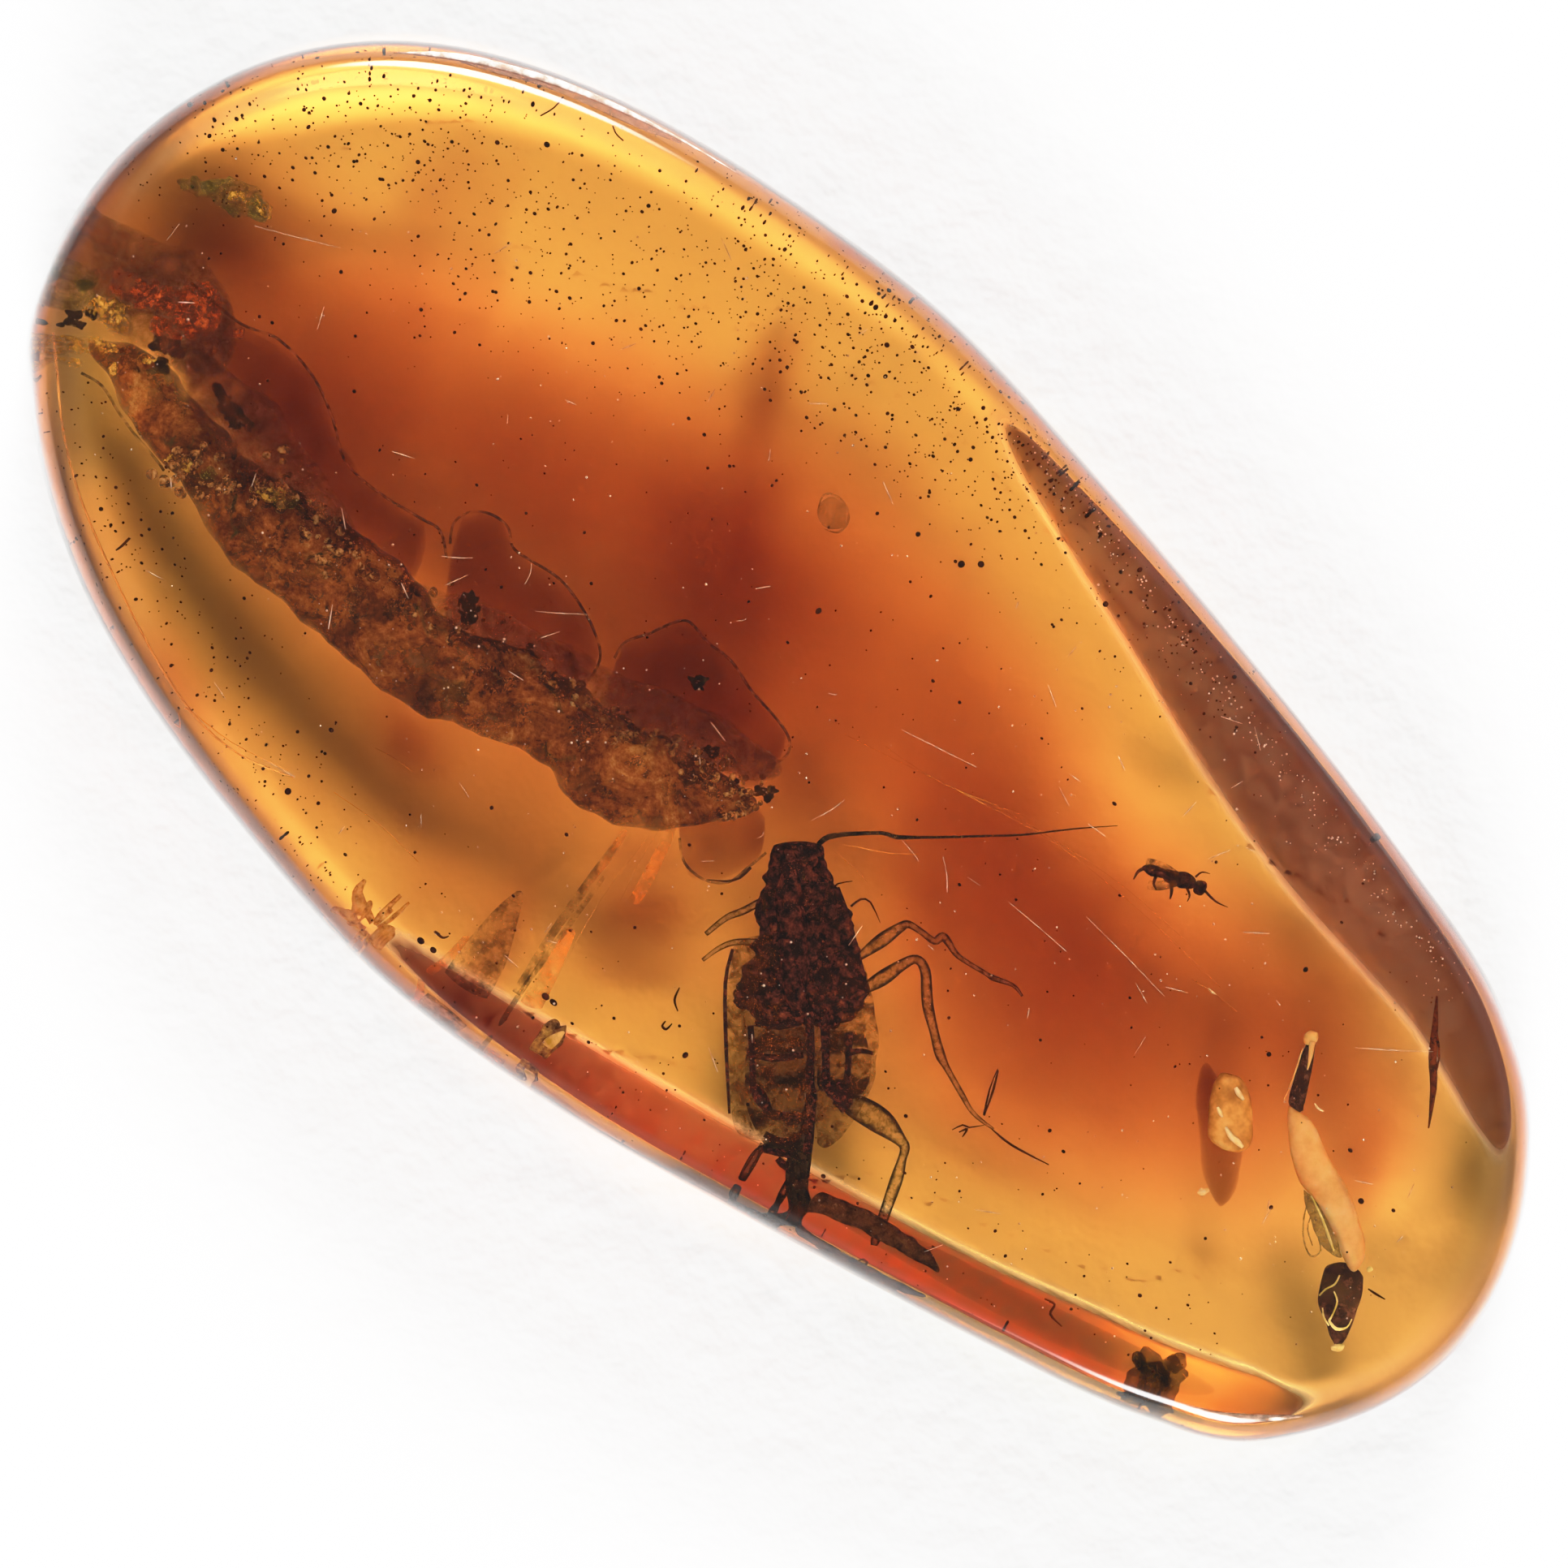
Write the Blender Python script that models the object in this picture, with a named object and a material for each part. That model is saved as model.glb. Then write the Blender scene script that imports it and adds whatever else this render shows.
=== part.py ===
"""A polished piece of amber, lying flat, with an insect and plant fragments sealed in it.

The clear amber is one piece. It is parted level, a little above half height, so that each
inclusion is a solid of its own in a pocket that opens at the parting.

Metres, +Z up. The origin is under the middle of the piece, on the surface that it lies on.
+X runs along the piece to its thin end, and +Y across it.
"""

from math import hypot, radians, sqrt, tan

import bmesh
import bpy
from mathutils import Matrix, Vector, noise

MM = 0.001

# Driving dimensions of the amber, in millimetres and degrees.
LENGTH = 28.0
PEAK_HEIGHT = 4.5
THIN_END_DROP = 0.6
DOME_SHARE = 0.12
SHOULDER_POWER = 56.0
RIM_HEIGHT = 0.8
# The underside is flat out to this share of the way, then rounds up to the rim.
RIM_START = 0.87
RIM_ROUNDING_POWER = 0.8
# The half width at which the rim's roundings are drawn; they are as wide at the ends.
ROUNDING_HALF_WIDTH = 6.6
# Outline: how far along, then the half width on the +Y side and on the -Y side.
OUTLINE = (
    (-13.5, 2.30, 2.38),
    (-12.5, 3.83, 3.64),
    (-9.5, 5.73, 5.49),
    (-6.0, 6.54, 6.40),
    (-2.5, 6.81, 6.81),
    (1.0, 6.43, 6.50),
    (5.0, 5.80, 5.68),
    (8.5, 5.10, 4.84),
    (11.0, 4.38, 4.10),
    (12.8, 3.05, 3.00),
)
# The two polished bevels under the rim: how far along, then where the inner edge of the
# +Y bevel and of the -Y bevel lie. Each runs out where its edge leaves the outline.
BEVEL_ANGLE = 50.0
BEVEL_EDGES = (
    (-4.6, 9.0, -7.2),
    (-3.2, 8.0, -6.15),
    (-2.0, 6.6, -5.85),
    (-0.5, 5.7, -5.56),
    (0.8, 5.27, -5.27),
    (2.9, 4.65, -4.83),
    (5.0, 4.02, -4.39),
    (7.4, 3.5, -3.82),
    (9.9, 3.25, -3.09),
    (11.3, 2.9, -2.66),
    (13.5, 2.2, -1.9),
)
BEVEL_EDGE_ROUNDING = 0.1
# The level parting, and the room that each pocket leaves round its inclusion.
PARTING_HEIGHT = 2.3
PARTING_GAP = 0.2
POCKET_CLEARANCE = 0.18
POCKET_FACE_ANGLE = 4.0
AMBER_SEGMENTS = (42, 26)
SMOOTHING_ANGLE = 30.0

# The insect lies level, turned by this angle, with its own origin on its neck shield.
VIEW_TURN = 41.2
INSECT_ORIGIN = (1.965, -1.63, 2.3)


# ---------------------------------------------------------------- scene and collections


def clear_scene():
    for obj in list(bpy.data.objects):
        bpy.data.objects.remove(obj, do_unlink=True)


def new_collection(name):
    collection = bpy.data.collections.new(name)
    bpy.context.scene.collection.children.link(collection)
    return collection


def new_material(name, colour, roughness, transmission=0.0, ior=1.5):
    material = bpy.data.materials.new(name)
    material.use_nodes = True
    shader = material.node_tree.nodes["Principled BSDF"]
    shader.inputs["Base Color"].default_value = (*colour, 1.0)
    shader.inputs["Roughness"].default_value = roughness
    shader.inputs["Metallic"].default_value = 0.0
    shader.inputs["Transmission Weight"].default_value = transmission
    shader.inputs["IOR"].default_value = ior
    return material


def new_object(name, bm, collection, material=None):
    """Makes a millimetre bmesh an object in metres."""
    bmesh.ops.scale(bm, vec=(MM, MM, MM), verts=bm.verts)
    mesh = bpy.data.meshes.new(name)
    bm.to_mesh(mesh)
    bm.free()
    if material:
        mesh.materials.append(material)
    obj = bpy.data.objects.new(name, mesh)
    collection.objects.link(obj)
    return obj


def make_helper(obj):
    obj.hide_render = True
    obj.display_type = "WIRE"


# ---------------------------------------------------------------- the amber's surface


def eased(rows, x):
    """A row of the table between its stations, with level ends and no corners."""
    places = [row[0] for row in rows]
    last = len(places) - 1
    if x <= places[0]:
        return rows[0][1:]
    if x >= places[last]:
        return rows[last][1:]
    i = max(j for j in range(last) if places[j] <= x)
    step = places[i + 1] - places[i]
    t = (x - places[i]) / step

    def slope(j, column):
        if j in (0, last):
            return 0.0
        rise = rows[j + 1][column] - rows[j - 1][column]
        return rise / (places[j + 1] - places[j - 1])

    return [
        (2 * t**3 - 3 * t**2 + 1) * rows[i][column]
        + (t**3 - 2 * t**2 + t) * step * slope(i, column)
        + (3 * t**2 - 2 * t**3) * rows[i + 1][column]
        + (t**3 - t**2) * step * slope(i + 1, column)
        for column in range(1, len(rows[0]))
    ]


def round_end_share(x):
    return sqrt(1 - (2 * x / LENGTH) ** 2)


# The outline's half widths as multiples of those of round ends.
WIDTH_FACTORS = [
    (x, left / round_end_share(x), right / round_end_share(x)) for x, left, right in OUTLINE
]


def footprint(a, b):
    """The place in millimetres of a point (a, b) of the unit disc."""
    x = a * LENGTH / 2
    return x, b * eased(WIDTH_FACTORS, x)[0 if b >= 0 else 1]


def rounded_max(first, second, rounding):
    overlap = max(rounding - abs(first - second), 0.0) / rounding
    return max(first, second) + overlap * overlap * rounding / 4


def rim_share(a, b):
    """How far out a point is, with the rim's roundings as wide at the ends as at the sides."""
    radius = min(1.0, hypot(a, b))
    if radius == 0:
        return 0.0
    lengthened = LENGTH / 2 * radius / hypot(LENGTH / 2 * b, ROUNDING_HALF_WIDTH * a)
    return max(0.0, 1 - (1 - radius) * lengthened)


def underside(a, b):
    """Height of the flat base, of the rounding under the rim and of the two bevels."""
    x, y = footprint(a, b)
    outward = max(0.0, (rim_share(a, b) - RIM_START) / (1 - RIM_START))
    height = RIM_HEIGHT * (1 - (1 - outward**2) ** RIM_ROUNDING_POWER)
    steepness = tan(radians(BEVEL_ANGLE))
    plus_edge, minus_edge = eased(BEVEL_EDGES, x)
    height = rounded_max(height, steepness * (y - plus_edge), BEVEL_EDGE_ROUNDING)
    return rounded_max(height, steepness * (minus_edge - y), BEVEL_EDGE_ROUNDING)


def top_side(a, b):
    """Height of the low dome, which rounds over steeply to the rim."""
    radius = min(1.0, hypot(a, b))
    along = radius or 1.0
    rim = underside(a / along, b / along)
    shoulder = sqrt(1 - rim_share(a, b) ** SHOULDER_POWER)
    rise = (1 - DOME_SHARE) * shoulder + DOME_SHARE * (1 - radius**2)
    peak = PEAK_HEIGHT - THIN_END_DROP * max(0.0, a) ** 2
    return rim + (peak - rim) * rise


def amber_pebble():
    """A UV sphere with its poles on the X axis, each point moved to the amber's surface."""
    around, along = AMBER_SEGMENTS
    bm = bmesh.new()
    bmesh.ops.create_uvsphere(bm, u_segments=around, v_segments=along, radius=1.0)
    for vert in bm.verts:
        b, c, a = vert.co
        x, y = footprint(a, b)
        vert.co = (x, y, top_side(a, b) if c >= 0 else underside(a, b))
    return bm


def amber_half(name, height, keep, collection, material):
    """One side of the level parting; keep is +1 for the upper half and -1 for the lower."""
    bm = amber_pebble()
    cut = bmesh.ops.bisect_plane(
        bm,
        geom=bm.verts[:] + bm.edges[:] + bm.faces[:],
        plane_co=(0, 0, height),
        plane_no=(0, 0, -keep),
        clear_outer=True,
    )
    edges = [item for item in cut["geom_cut"] if isinstance(item, bmesh.types.BMEdge)]
    bmesh.ops.edgenet_fill(bm, edges=edges)
    bmesh.ops.recalc_face_normals(bm, faces=bm.faces)
    obj = new_object(name, bm, collection, material)
    obj.data.shade_smooth()
    obj.data.set_sharp_from_angle(angle=radians(SMOOTHING_ANGLE))
    return obj


# ---------------------------------------------------------------- solids for inclusions


def placing(origin):
    """A frame that lies level at origin, turned as the insect is."""
    return Matrix.Translation(origin) @ Matrix.Rotation(radians(VIEW_TURN), 4, "Z")


def ellipsoid(name, centre, radii, frame, collection, segments=(12, 8), turn=0.0):
    bm = bmesh.new()
    around, along = segments
    bmesh.ops.create_uvsphere(bm, u_segments=around, v_segments=along, radius=1.0)
    shape = Matrix.Translation(centre) @ Matrix.Rotation(radians(turn), 4, "Z")
    shape = frame @ shape @ Matrix.Diagonal((*radii, 1.0))
    bmesh.ops.transform(bm, matrix=shape, verts=bm.verts)
    return new_object(name, bm, collection)


def limb(name, points, frame, collection, sides=1):
    """A tube through (x, y, z, radius) points with closed ends, as a mesh."""
    curve = bpy.data.curves.new(name, "CURVE")
    curve.dimensions = "3D"
    curve.bevel_depth = MM
    curve.bevel_resolution = sides
    curve.use_fill_caps = True
    spline = curve.splines.new("POLY")
    spline.points.add(len(points) - 1)
    for point, (x, y, z, radius) in zip(spline.points, points, strict=True):
        place = frame @ Vector((x, y, z)) * MM
        point.co = (*place, 1.0)
        point.radius = radius
    return curve_to_mesh(name, curve, collection)


def plate(name, outline, thickness, frame, collection):
    """A flat outline with thickness, as a mesh."""
    curve = bpy.data.curves.new(name, "CURVE")
    curve.dimensions = "2D"
    curve.fill_mode = "BOTH"
    curve.extrude = thickness / 2 * MM
    spline = curve.splines.new("POLY")
    spline.points.add(len(outline) - 1)
    for point, (x, y) in zip(spline.points, outline, strict=True):
        point.co = (x * MM, y * MM, 0.0, 1.0)
    spline.use_cyclic_u = True
    matrix = frame.copy()
    matrix.translation *= MM
    return curve_to_mesh(name, curve, collection, matrix)


def curve_to_mesh(name, curve, collection, matrix=None):
    guide = bpy.data.objects.new(name + "_guide", curve)
    collection.objects.link(guide)
    bpy.context.view_layer.update()
    graph = bpy.context.evaluated_depsgraph_get()
    mesh = bpy.data.meshes.new_from_object(guide.evaluated_get(graph))
    bpy.data.objects.remove(guide)
    bm = bmesh.new()
    bm.from_mesh(mesh)
    bpy.data.meshes.remove(mesh)
    if matrix:
        bmesh.ops.transform(bm, matrix=matrix, verts=bm.verts)
    bmesh.ops.remove_doubles(bm, verts=bm.verts, dist=1e-6)
    bmesh.ops.recalc_face_normals(bm, faces=bm.faces)
    bmesh.ops.scale(bm, vec=(1 / MM, 1 / MM, 1 / MM), verts=bm.verts)
    return new_object(name, bm, collection)


def fuse(name, pieces, collection, material):
    """One solid from overlapping pieces, which stay behind as hidden helpers."""
    first, *others = pieces
    body = bpy.data.objects.new(name, first.data.copy())
    body.data.materials.append(material)
    collection.objects.link(body)
    for piece in others:
        union = body.modifiers.new("with_" + piece.name, "BOOLEAN")
        union.operation = "UNION"
        union.solver = "EXACT"
        union.object = piece
    for piece in pieces:
        make_helper(piece)
    return body


def roughened(obj, depth, grain):
    """Moves a solid's points in and out, so that it has the lumps of a weathered scrap."""
    for vert in obj.data.vertices:
        push = noise.noise(vert.co / (grain * MM))
        vert.co += vert.normal * push * depth * MM
    obj.data.update()


# ---------------------------------------------------------------- pockets


def pocket(piece, cutters):
    """A convex room round a piece, which reaches the parting from above or from below."""
    reach = PARTING_GAP
    levels = (PARTING_HEIGHT - reach, PARTING_HEIGHT + reach)
    bm = bmesh.new()
    for vert in piece.data.vertices:
        place = vert.co / MM
        for axis in range(3):
            for sign in (-1, 1):
                grown = place.copy()
                grown[axis] += sign * POCKET_CLEARANCE
                bm.verts.new(grown)
        for level in levels:
            bm.verts.new((place.x, place.y, level))
    hull = bmesh.ops.convex_hull(bm, input=bm.verts)
    inside = [item for item in hull["geom_interior"] if isinstance(item, bmesh.types.BMVert)]
    bmesh.ops.delete(bm, geom=inside, context="VERTS")
    angle = radians(POCKET_FACE_ANGLE)
    bmesh.ops.dissolve_limit(bm, angle_limit=angle, verts=bm.verts, edges=bm.edges)
    bmesh.ops.triangulate(bm, faces=bm.faces)
    bmesh.ops.recalc_face_normals(bm, faces=bm.faces)
    room = new_object("pocket_" + piece.name, bm, cutters)
    make_helper(room)
    return room


def cut_pockets(half, rooms):
    for room in rooms:
        cut = half.modifiers.new(room.name, "BOOLEAN")
        cut.operation = "DIFFERENCE"
        cut.solver = "EXACT"
        cut.object = room


# ---------------------------------------------------------------- the insect


def insect_pieces(helpers):
    """Trunk, folded wings, legs and feeler; x to its right side, y to its head."""
    at = placing(INSECT_ORIGIN)
    trunk = [
        ellipsoid("thorax", (-0.05, -0.75, 0.0), (0.88, 0.95, 0.42), at, helpers, (16, 10)),
        ellipsoid("neck_shield", (-0.22, 0.25, 0.03), (0.52, 0.62, 0.36), at, helpers),
        ellipsoid("head", (-0.15, 0.84, 0.0), (0.38, 0.34, 0.30), at, helpers),
        ellipsoid("abdomen", (-0.38, -2.35, -0.08), (0.56, 1.15, 0.30), at, helpers, (14, 10)),
    ]
    left_wing = (
        (-0.30, -0.36),
        (-1.22, -0.47),
        (-1.33, -0.99),
        (-1.32, -1.75),
        (-1.29, -2.50),
        (-1.21, -3.19),
        (-0.87, -3.40),
        (-0.31, -3.48),
        (0.01, -3.19),
        (0.02, -1.55),
    )
    right_wing = (
        (0.00, -0.56),
        (-0.15, -2.06),
        (-0.18, -3.44),
        (0.28, -3.53),
        (0.78, -2.91),
        (0.99, -2.38),
        (1.01, -1.63),
        (0.83, -0.81),
    )
    wings = [
        plate("left_wing", left_wing[::-1], 0.10, at @ Matrix.Translation((0, 0, 0.17)), helpers),
        plate("right_wing", right_wing, 0.10, at @ Matrix.Translation((0, 0, 0.06)), helpers),
    ]
    limbs = {
        "mid_leg": (
            (0.60, -0.62, 0.0, 0.08),
            (1.42, -0.13, 0.08, 0.07),
            (1.94, -0.39, 0.05, 0.06),
            (2.20, -0.58, 0.0, 0.06),
            (2.79, -0.90, 0.0, 0.04),
            (3.22, -1.19, 0.0, 0.03),
        ),
        "long_leg": (
            (0.65, -1.15, -0.05, 0.09),
            (1.52, -0.65, 0.05, 0.09),
            (1.72, -0.83, 0.05, 0.08),
            (1.81, -1.65, 0.0, 0.08),
            (1.98, -2.14, 0.0, 0.06),
            (2.23, -2.66, 0.0, 0.05),
            (2.52, -3.03, 0.0, 0.04),
            (2.77, -3.19, 0.0, 0.03),
        ),
        "hind_leg": (
            (0.26, -2.72, 0.0, 0.12),
            (0.90, -3.05, 0.04, 0.19),
            (1.37, -3.39, 0.04, 0.15),
            (1.43, -3.57, 0.02, 0.11),
            (1.32, -4.01, 0.0, 0.09),
            (1.17, -4.51, 0.0, 0.08),
            (1.06, -4.87, 0.0, 0.06),
        ),
        "fore_leg": (
            (-0.50, 0.15, 0.0, 0.08),
            (-1.21, 0.02, 0.04, 0.07),
            (-1.66, -0.28, 0.0, 0.04),
        ),
        "left_mid_leg": (
            (-0.60, -0.30, -0.05, 0.07),
            (-1.10, -0.38, -0.05, 0.06),
            (-1.50, -0.56, -0.05, 0.04),
        ),
        "left_hind_leg": (
            (-0.05, -3.45, -0.05, 0.08),
            (-0.77, -3.53, -0.05, 0.09),
            (-0.90, -3.74, -0.03, 0.08),
            (-1.04, -4.14, 0.0, 0.05),
        ),
        "inner_hind_leg": (
            (-0.16, -3.69, -0.05, 0.08),
            (-0.32, -4.00, -0.03, 0.08),
            (-0.50, -4.35, 0.0, 0.05),
        ),
        "tail": (
            (-0.12, -2.74, -0.02, 0.15),
            (-0.17, -3.60, 0.0, 0.18),
            (-0.05, -4.27, 0.04, 0.15),
        ),
        "feeler": (
            (-0.02, 1.02, 0.0, 0.06),
            (0.30, 1.29, 0.03, 0.05),
            (1.21, 1.35, 0.05, 0.045),
            (2.84, 1.24, 0.05, 0.035),
            (4.58, 1.33, 0.0, 0.025),
        ),
    }
    tubes = [limb(name, points, at, helpers) for name, points in limbs.items()]
    return trunk + wings + tubes


# ---------------------------------------------------------------- the other inclusions


def small_fly_pieces(helpers):
    """A fly about a millimetre long; x to its head."""
    at = Matrix.Translation((5.92, 2.57, 2.55)) @ Matrix.Rotation(radians(VIEW_TURN - 21), 4, "Z")
    pieces = [
        ellipsoid("fly_thorax", (0.0, 0.0, 0.0), (0.20, 0.14, 0.14), at, helpers, (10, 6)),
        ellipsoid("fly_abdomen", (-0.38, 0.02, 0.0), (0.32, 0.10, 0.10), at, helpers, (10, 6)),
        ellipsoid("fly_head", (0.24, -0.03, 0.0), (0.11, 0.12, 0.11), at, helpers, (8, 6)),
    ]
    legs = (
        ((-0.05, 0.0), (-0.10, -0.22), (-0.16, -0.32)),
        ((-0.30, 0.0), (-0.34, -0.16), (-0.30, -0.28)),
        ((0.24, -0.04), (0.42, -0.10), (0.58, -0.10)),
    )
    for number, route in enumerate(legs, start=1):
        points = [(x, y, 0.0, 0.022) for x, y in route]
        pieces.append(limb(f"fly_leg_{number}", points, at, helpers))
    return pieces


def stem_fragment_pieces(helpers):
    """A hollow-looking stem: a thin neck, a pale swollen body and a dark glassy end."""
    level = Matrix.Identity(4)
    route = (
        (8.99, 2.03, 2.77, 0.09),
        (9.19, 1.65, 2.75, 0.15),
        (9.56, 1.08, 2.75, 0.16),
        (10.22, 0.64, 2.70, 0.21),
        (10.79, 0.35, 2.65, 0.25),
        (11.42, 0.13, 2.60, 0.27),
        (11.85, -0.23, 2.52, 0.29),
        (12.03, -0.71, 2.45, 0.26),
        (12.29, -1.13, 2.36, 0.10),
    )
    return [limb("stem_route", route, level, helpers, sides=3)]


def bark_strip_pieces(helpers):
    """A strip of rotted bark, thin and lumpy, that climbs from the broad end's rim."""
    # How far along, the lower edge, the upper edge and the height of the strip's middle.
    edges = (
        (-12.10, -2.14, -1.04, 2.00),
        (-11.24, -2.67, -0.71, 2.20),
        (-9.67, -3.10, -0.71, 2.45),
        (-8.07, -3.34, -0.95, 2.65),
        (-6.65, -3.35, -0.97, 2.80),
        (-5.73, -3.30, -0.41, 2.85),
        (-4.3, -3.05, -0.37, 2.90),
        (-3.3, -2.75, -0.92, 2.90),
        (-2.5, -2.44, 0.20, 2.90),
        (-1.2, -2.32, 0.47, 2.90),
        (-0.2, -2.22, 0.15, 2.88),
        (0.4, -1.77, -0.82, 2.85),
    )
    thickness = 0.55
    lump_depth = 0.5
    lump_grain = Vector((1.3, 3.0, 2.0))
    blunt_ends = 2.2
    start, end = edges[0][0], edges[-1][0]
    bm = bmesh.new()
    bmesh.ops.create_uvsphere(bm, u_segments=14, v_segments=34, radius=1.0)
    for vert in bm.verts:
        b, c, a = vert.co
        x = (start + end) / 2 + a * (end - start) / 2
        low, high, middle = strip_section(edges, x)
        roundness = sqrt(max(1e-6, 1 - a * a))
        squarer = min(1.0, roundness * blunt_ends) / roundness
        lump = 1 + lump_depth * noise.noise(Vector((x, b, c)) * lump_grain)
        y = (low + high) / 2 + b * squarer * (high - low) / 2
        vert.co = (x, y, middle + c * squarer * lump * thickness / 2)
    return [new_object("strip", bm, helpers)]


def strip_section(edges, x):
    x = min(max(x, edges[0][0]), edges[-1][0])
    i = max(j for j in range(len(edges) - 1) if edges[j][0] <= x)
    t = (x - edges[i][0]) / (edges[i + 1][0] - edges[i][0])
    return [p + (q - p) * t for p, q in zip(edges[i][1:], edges[i + 1][1:], strict=True)]


def thorn_pieces(helpers):
    """A thin bent spine near the rim."""
    route = (
        (10.03, 3.77, 2.64, 0.02),
        (10.41, 3.29, 2.62, 0.07),
        (10.82, 2.77, 2.58, 0.06),
        (11.25, 2.21, 2.54, 0.015),
    )
    return [limb("thorn_route", route, Matrix.Identity(4), helpers)]


def golden_flake_pieces(helpers):
    """A thin glassy splinter that stands near the rim; y along it."""
    at = placing((0.22, -5.72, 2.30)) @ Matrix.Rotation(radians(-35), 4, "Z")
    outline = (
        (0.02, 0.47),
        (-0.14, 0.26),
        (-0.17, -0.17),
        (-0.10, -0.44),
        (0.10, -0.47),
        (0.16, -0.10),
        (0.13, 0.24),
    )
    return [plate("flake_outline", outline, 0.14, at, helpers)]


def pale_scale_pieces(helpers):
    """A pale curled scrap with a fan at its foot."""
    at = placing((-3.12, -5.80, 2.20))
    curl = ((-0.08, 0.46, 0.02), (-0.16, 0.26, 0.06), (-0.08, 0.02, 0.02), (0.0, -0.2, 0.0))
    points = [(x, y, z, 0.09) for x, y, z in curl]
    return [
        ellipsoid("scale_fan", (0.04, -0.34, 0.0), (0.30, 0.20, 0.09), at, helpers, (10, 6)),
        limb("scale_curl", points, at, helpers),
    ]


def bark_crumb_pieces(helpers):
    """A rotted crumb of bark in the bevelled rim by the thin end."""
    at = placing((10.58, -3.19, 2.05))
    crumb = ellipsoid("crumb", (0, 0, 0), (0.42, 0.30, 0.26), at, helpers, (12, 8), turn=15)
    roughened(crumb, depth=0.16, grain=0.3)
    return [crumb]


def twig_fragment_pieces(helpers):
    """A short banded twig along the bevel, under the insect's tail; x along it."""
    at = placing(INSECT_ORIGIN) @ Matrix.Translation((1.10, -4.74, 0.14))
    at = at @ Matrix.Rotation(radians(-33.0), 4, "Z") @ Matrix.Diagonal((1, 1, 0.8, 1))
    length = 2.15
    radius = 0.22
    ring_height = 0.035
    waviness = 0.02
    steps = 10
    route = []
    for step in range(steps + 1):
        along = (step / steps - 0.5) * length
        ringed = radius + ring_height * (step % 2)
        route.append((along, waviness * (step % 3), 0.0, ringed))
    return [limb("twig_route", route, at, helpers, sides=2)]


# ---------------------------------------------------------------- the whole piece


INCLUSIONS = (
    ("insect", insect_pieces, (0.055, 0.030, 0.022), 0.45),
    ("small_fly", small_fly_pieces, (0.050, 0.030, 0.022), 0.45),
    ("bark_strip", bark_strip_pieces, (0.30, 0.13, 0.045), 0.80),
    ("stem_fragment", stem_fragment_pieces, (0.62, 0.33, 0.13), 0.60),
    ("thorn", thorn_pieces, (0.16, 0.05, 0.03), 0.50),
    ("golden_flake", golden_flake_pieces, (0.62, 0.47, 0.16), 0.30),
    ("pale_scale", pale_scale_pieces, (0.78, 0.46, 0.20), 0.55),
    ("bark_crumb", bark_crumb_pieces, (0.20, 0.13, 0.05), 0.80),
    ("twig_fragment", twig_fragment_pieces, (0.16, 0.07, 0.035), 0.75),
)


def build():
    clear_scene()
    parts = new_collection("insect_in_amber")
    helpers = new_collection("helpers")
    rooms = []
    for name, make_pieces, colour, roughness in INCLUSIONS:
        pieces = make_pieces(helpers)
        body = fuse(name, pieces, parts, new_material(name, colour, roughness))
        body.data.shade_smooth()
        rooms += [pocket(piece, helpers) for piece in pieces]
    amber = new_material("amber", (0.95, 0.55, 0.16), 0.04, transmission=1.0, ior=1.54)
    for name, keep in (("amber_upper", 1), ("amber_lower", -1)):
        height = PARTING_HEIGHT + keep * PARTING_GAP / 2
        half = amber_half(name, height, keep, parts, amber)
        cut_pockets(half, rooms)


build()
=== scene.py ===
import random
from math import cos, hypot, pi, radians, sin, sqrt, tan

import bmesh
import bpy
from mathutils import Matrix, Vector, noise


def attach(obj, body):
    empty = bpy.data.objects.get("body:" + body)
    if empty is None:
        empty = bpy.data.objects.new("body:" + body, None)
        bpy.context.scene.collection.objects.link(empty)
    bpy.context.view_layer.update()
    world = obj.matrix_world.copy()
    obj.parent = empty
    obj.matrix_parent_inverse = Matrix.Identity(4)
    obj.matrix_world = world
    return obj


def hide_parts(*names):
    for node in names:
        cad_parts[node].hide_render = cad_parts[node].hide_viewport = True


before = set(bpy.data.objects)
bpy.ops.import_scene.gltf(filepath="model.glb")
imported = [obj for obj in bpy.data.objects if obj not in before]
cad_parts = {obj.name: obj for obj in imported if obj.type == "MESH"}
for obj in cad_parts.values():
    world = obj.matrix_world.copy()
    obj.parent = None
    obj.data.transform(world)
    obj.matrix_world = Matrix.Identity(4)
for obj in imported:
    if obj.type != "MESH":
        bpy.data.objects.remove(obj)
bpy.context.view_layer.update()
MM = 0.001

# ---------------------------------------------------------------- the amber
# A pebble of fossil resin, ground flat underneath and polished all over. Two bevels were
# ground under its rim towards the thin end. Millimetres, made metres as a piece is finished.

amber_length = 28.0
amber_height = 4.5
thin_end_drop = 0.6
dome_share = 0.12
shoulder_power = 56.0
rim_height = 0.8
rim_start = 0.87
rounding_half_width = 6.6
bevel_slope = tan(radians(50))
# How far along, then the half width on each side of the middle line.
amber_outline = (
    (-13.5, 2.30, 2.38), (-12.5, 3.83, 3.64), (-9.5, 5.73, 5.49), (-6.0, 6.54, 6.40),
    (-2.5, 6.81, 6.81), (1.0, 6.43, 6.50), (5.0, 5.80, 5.68), (8.5, 5.10, 4.84),
    (11.0, 4.38, 4.10), (12.8, 3.05, 3.00),
)
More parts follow.
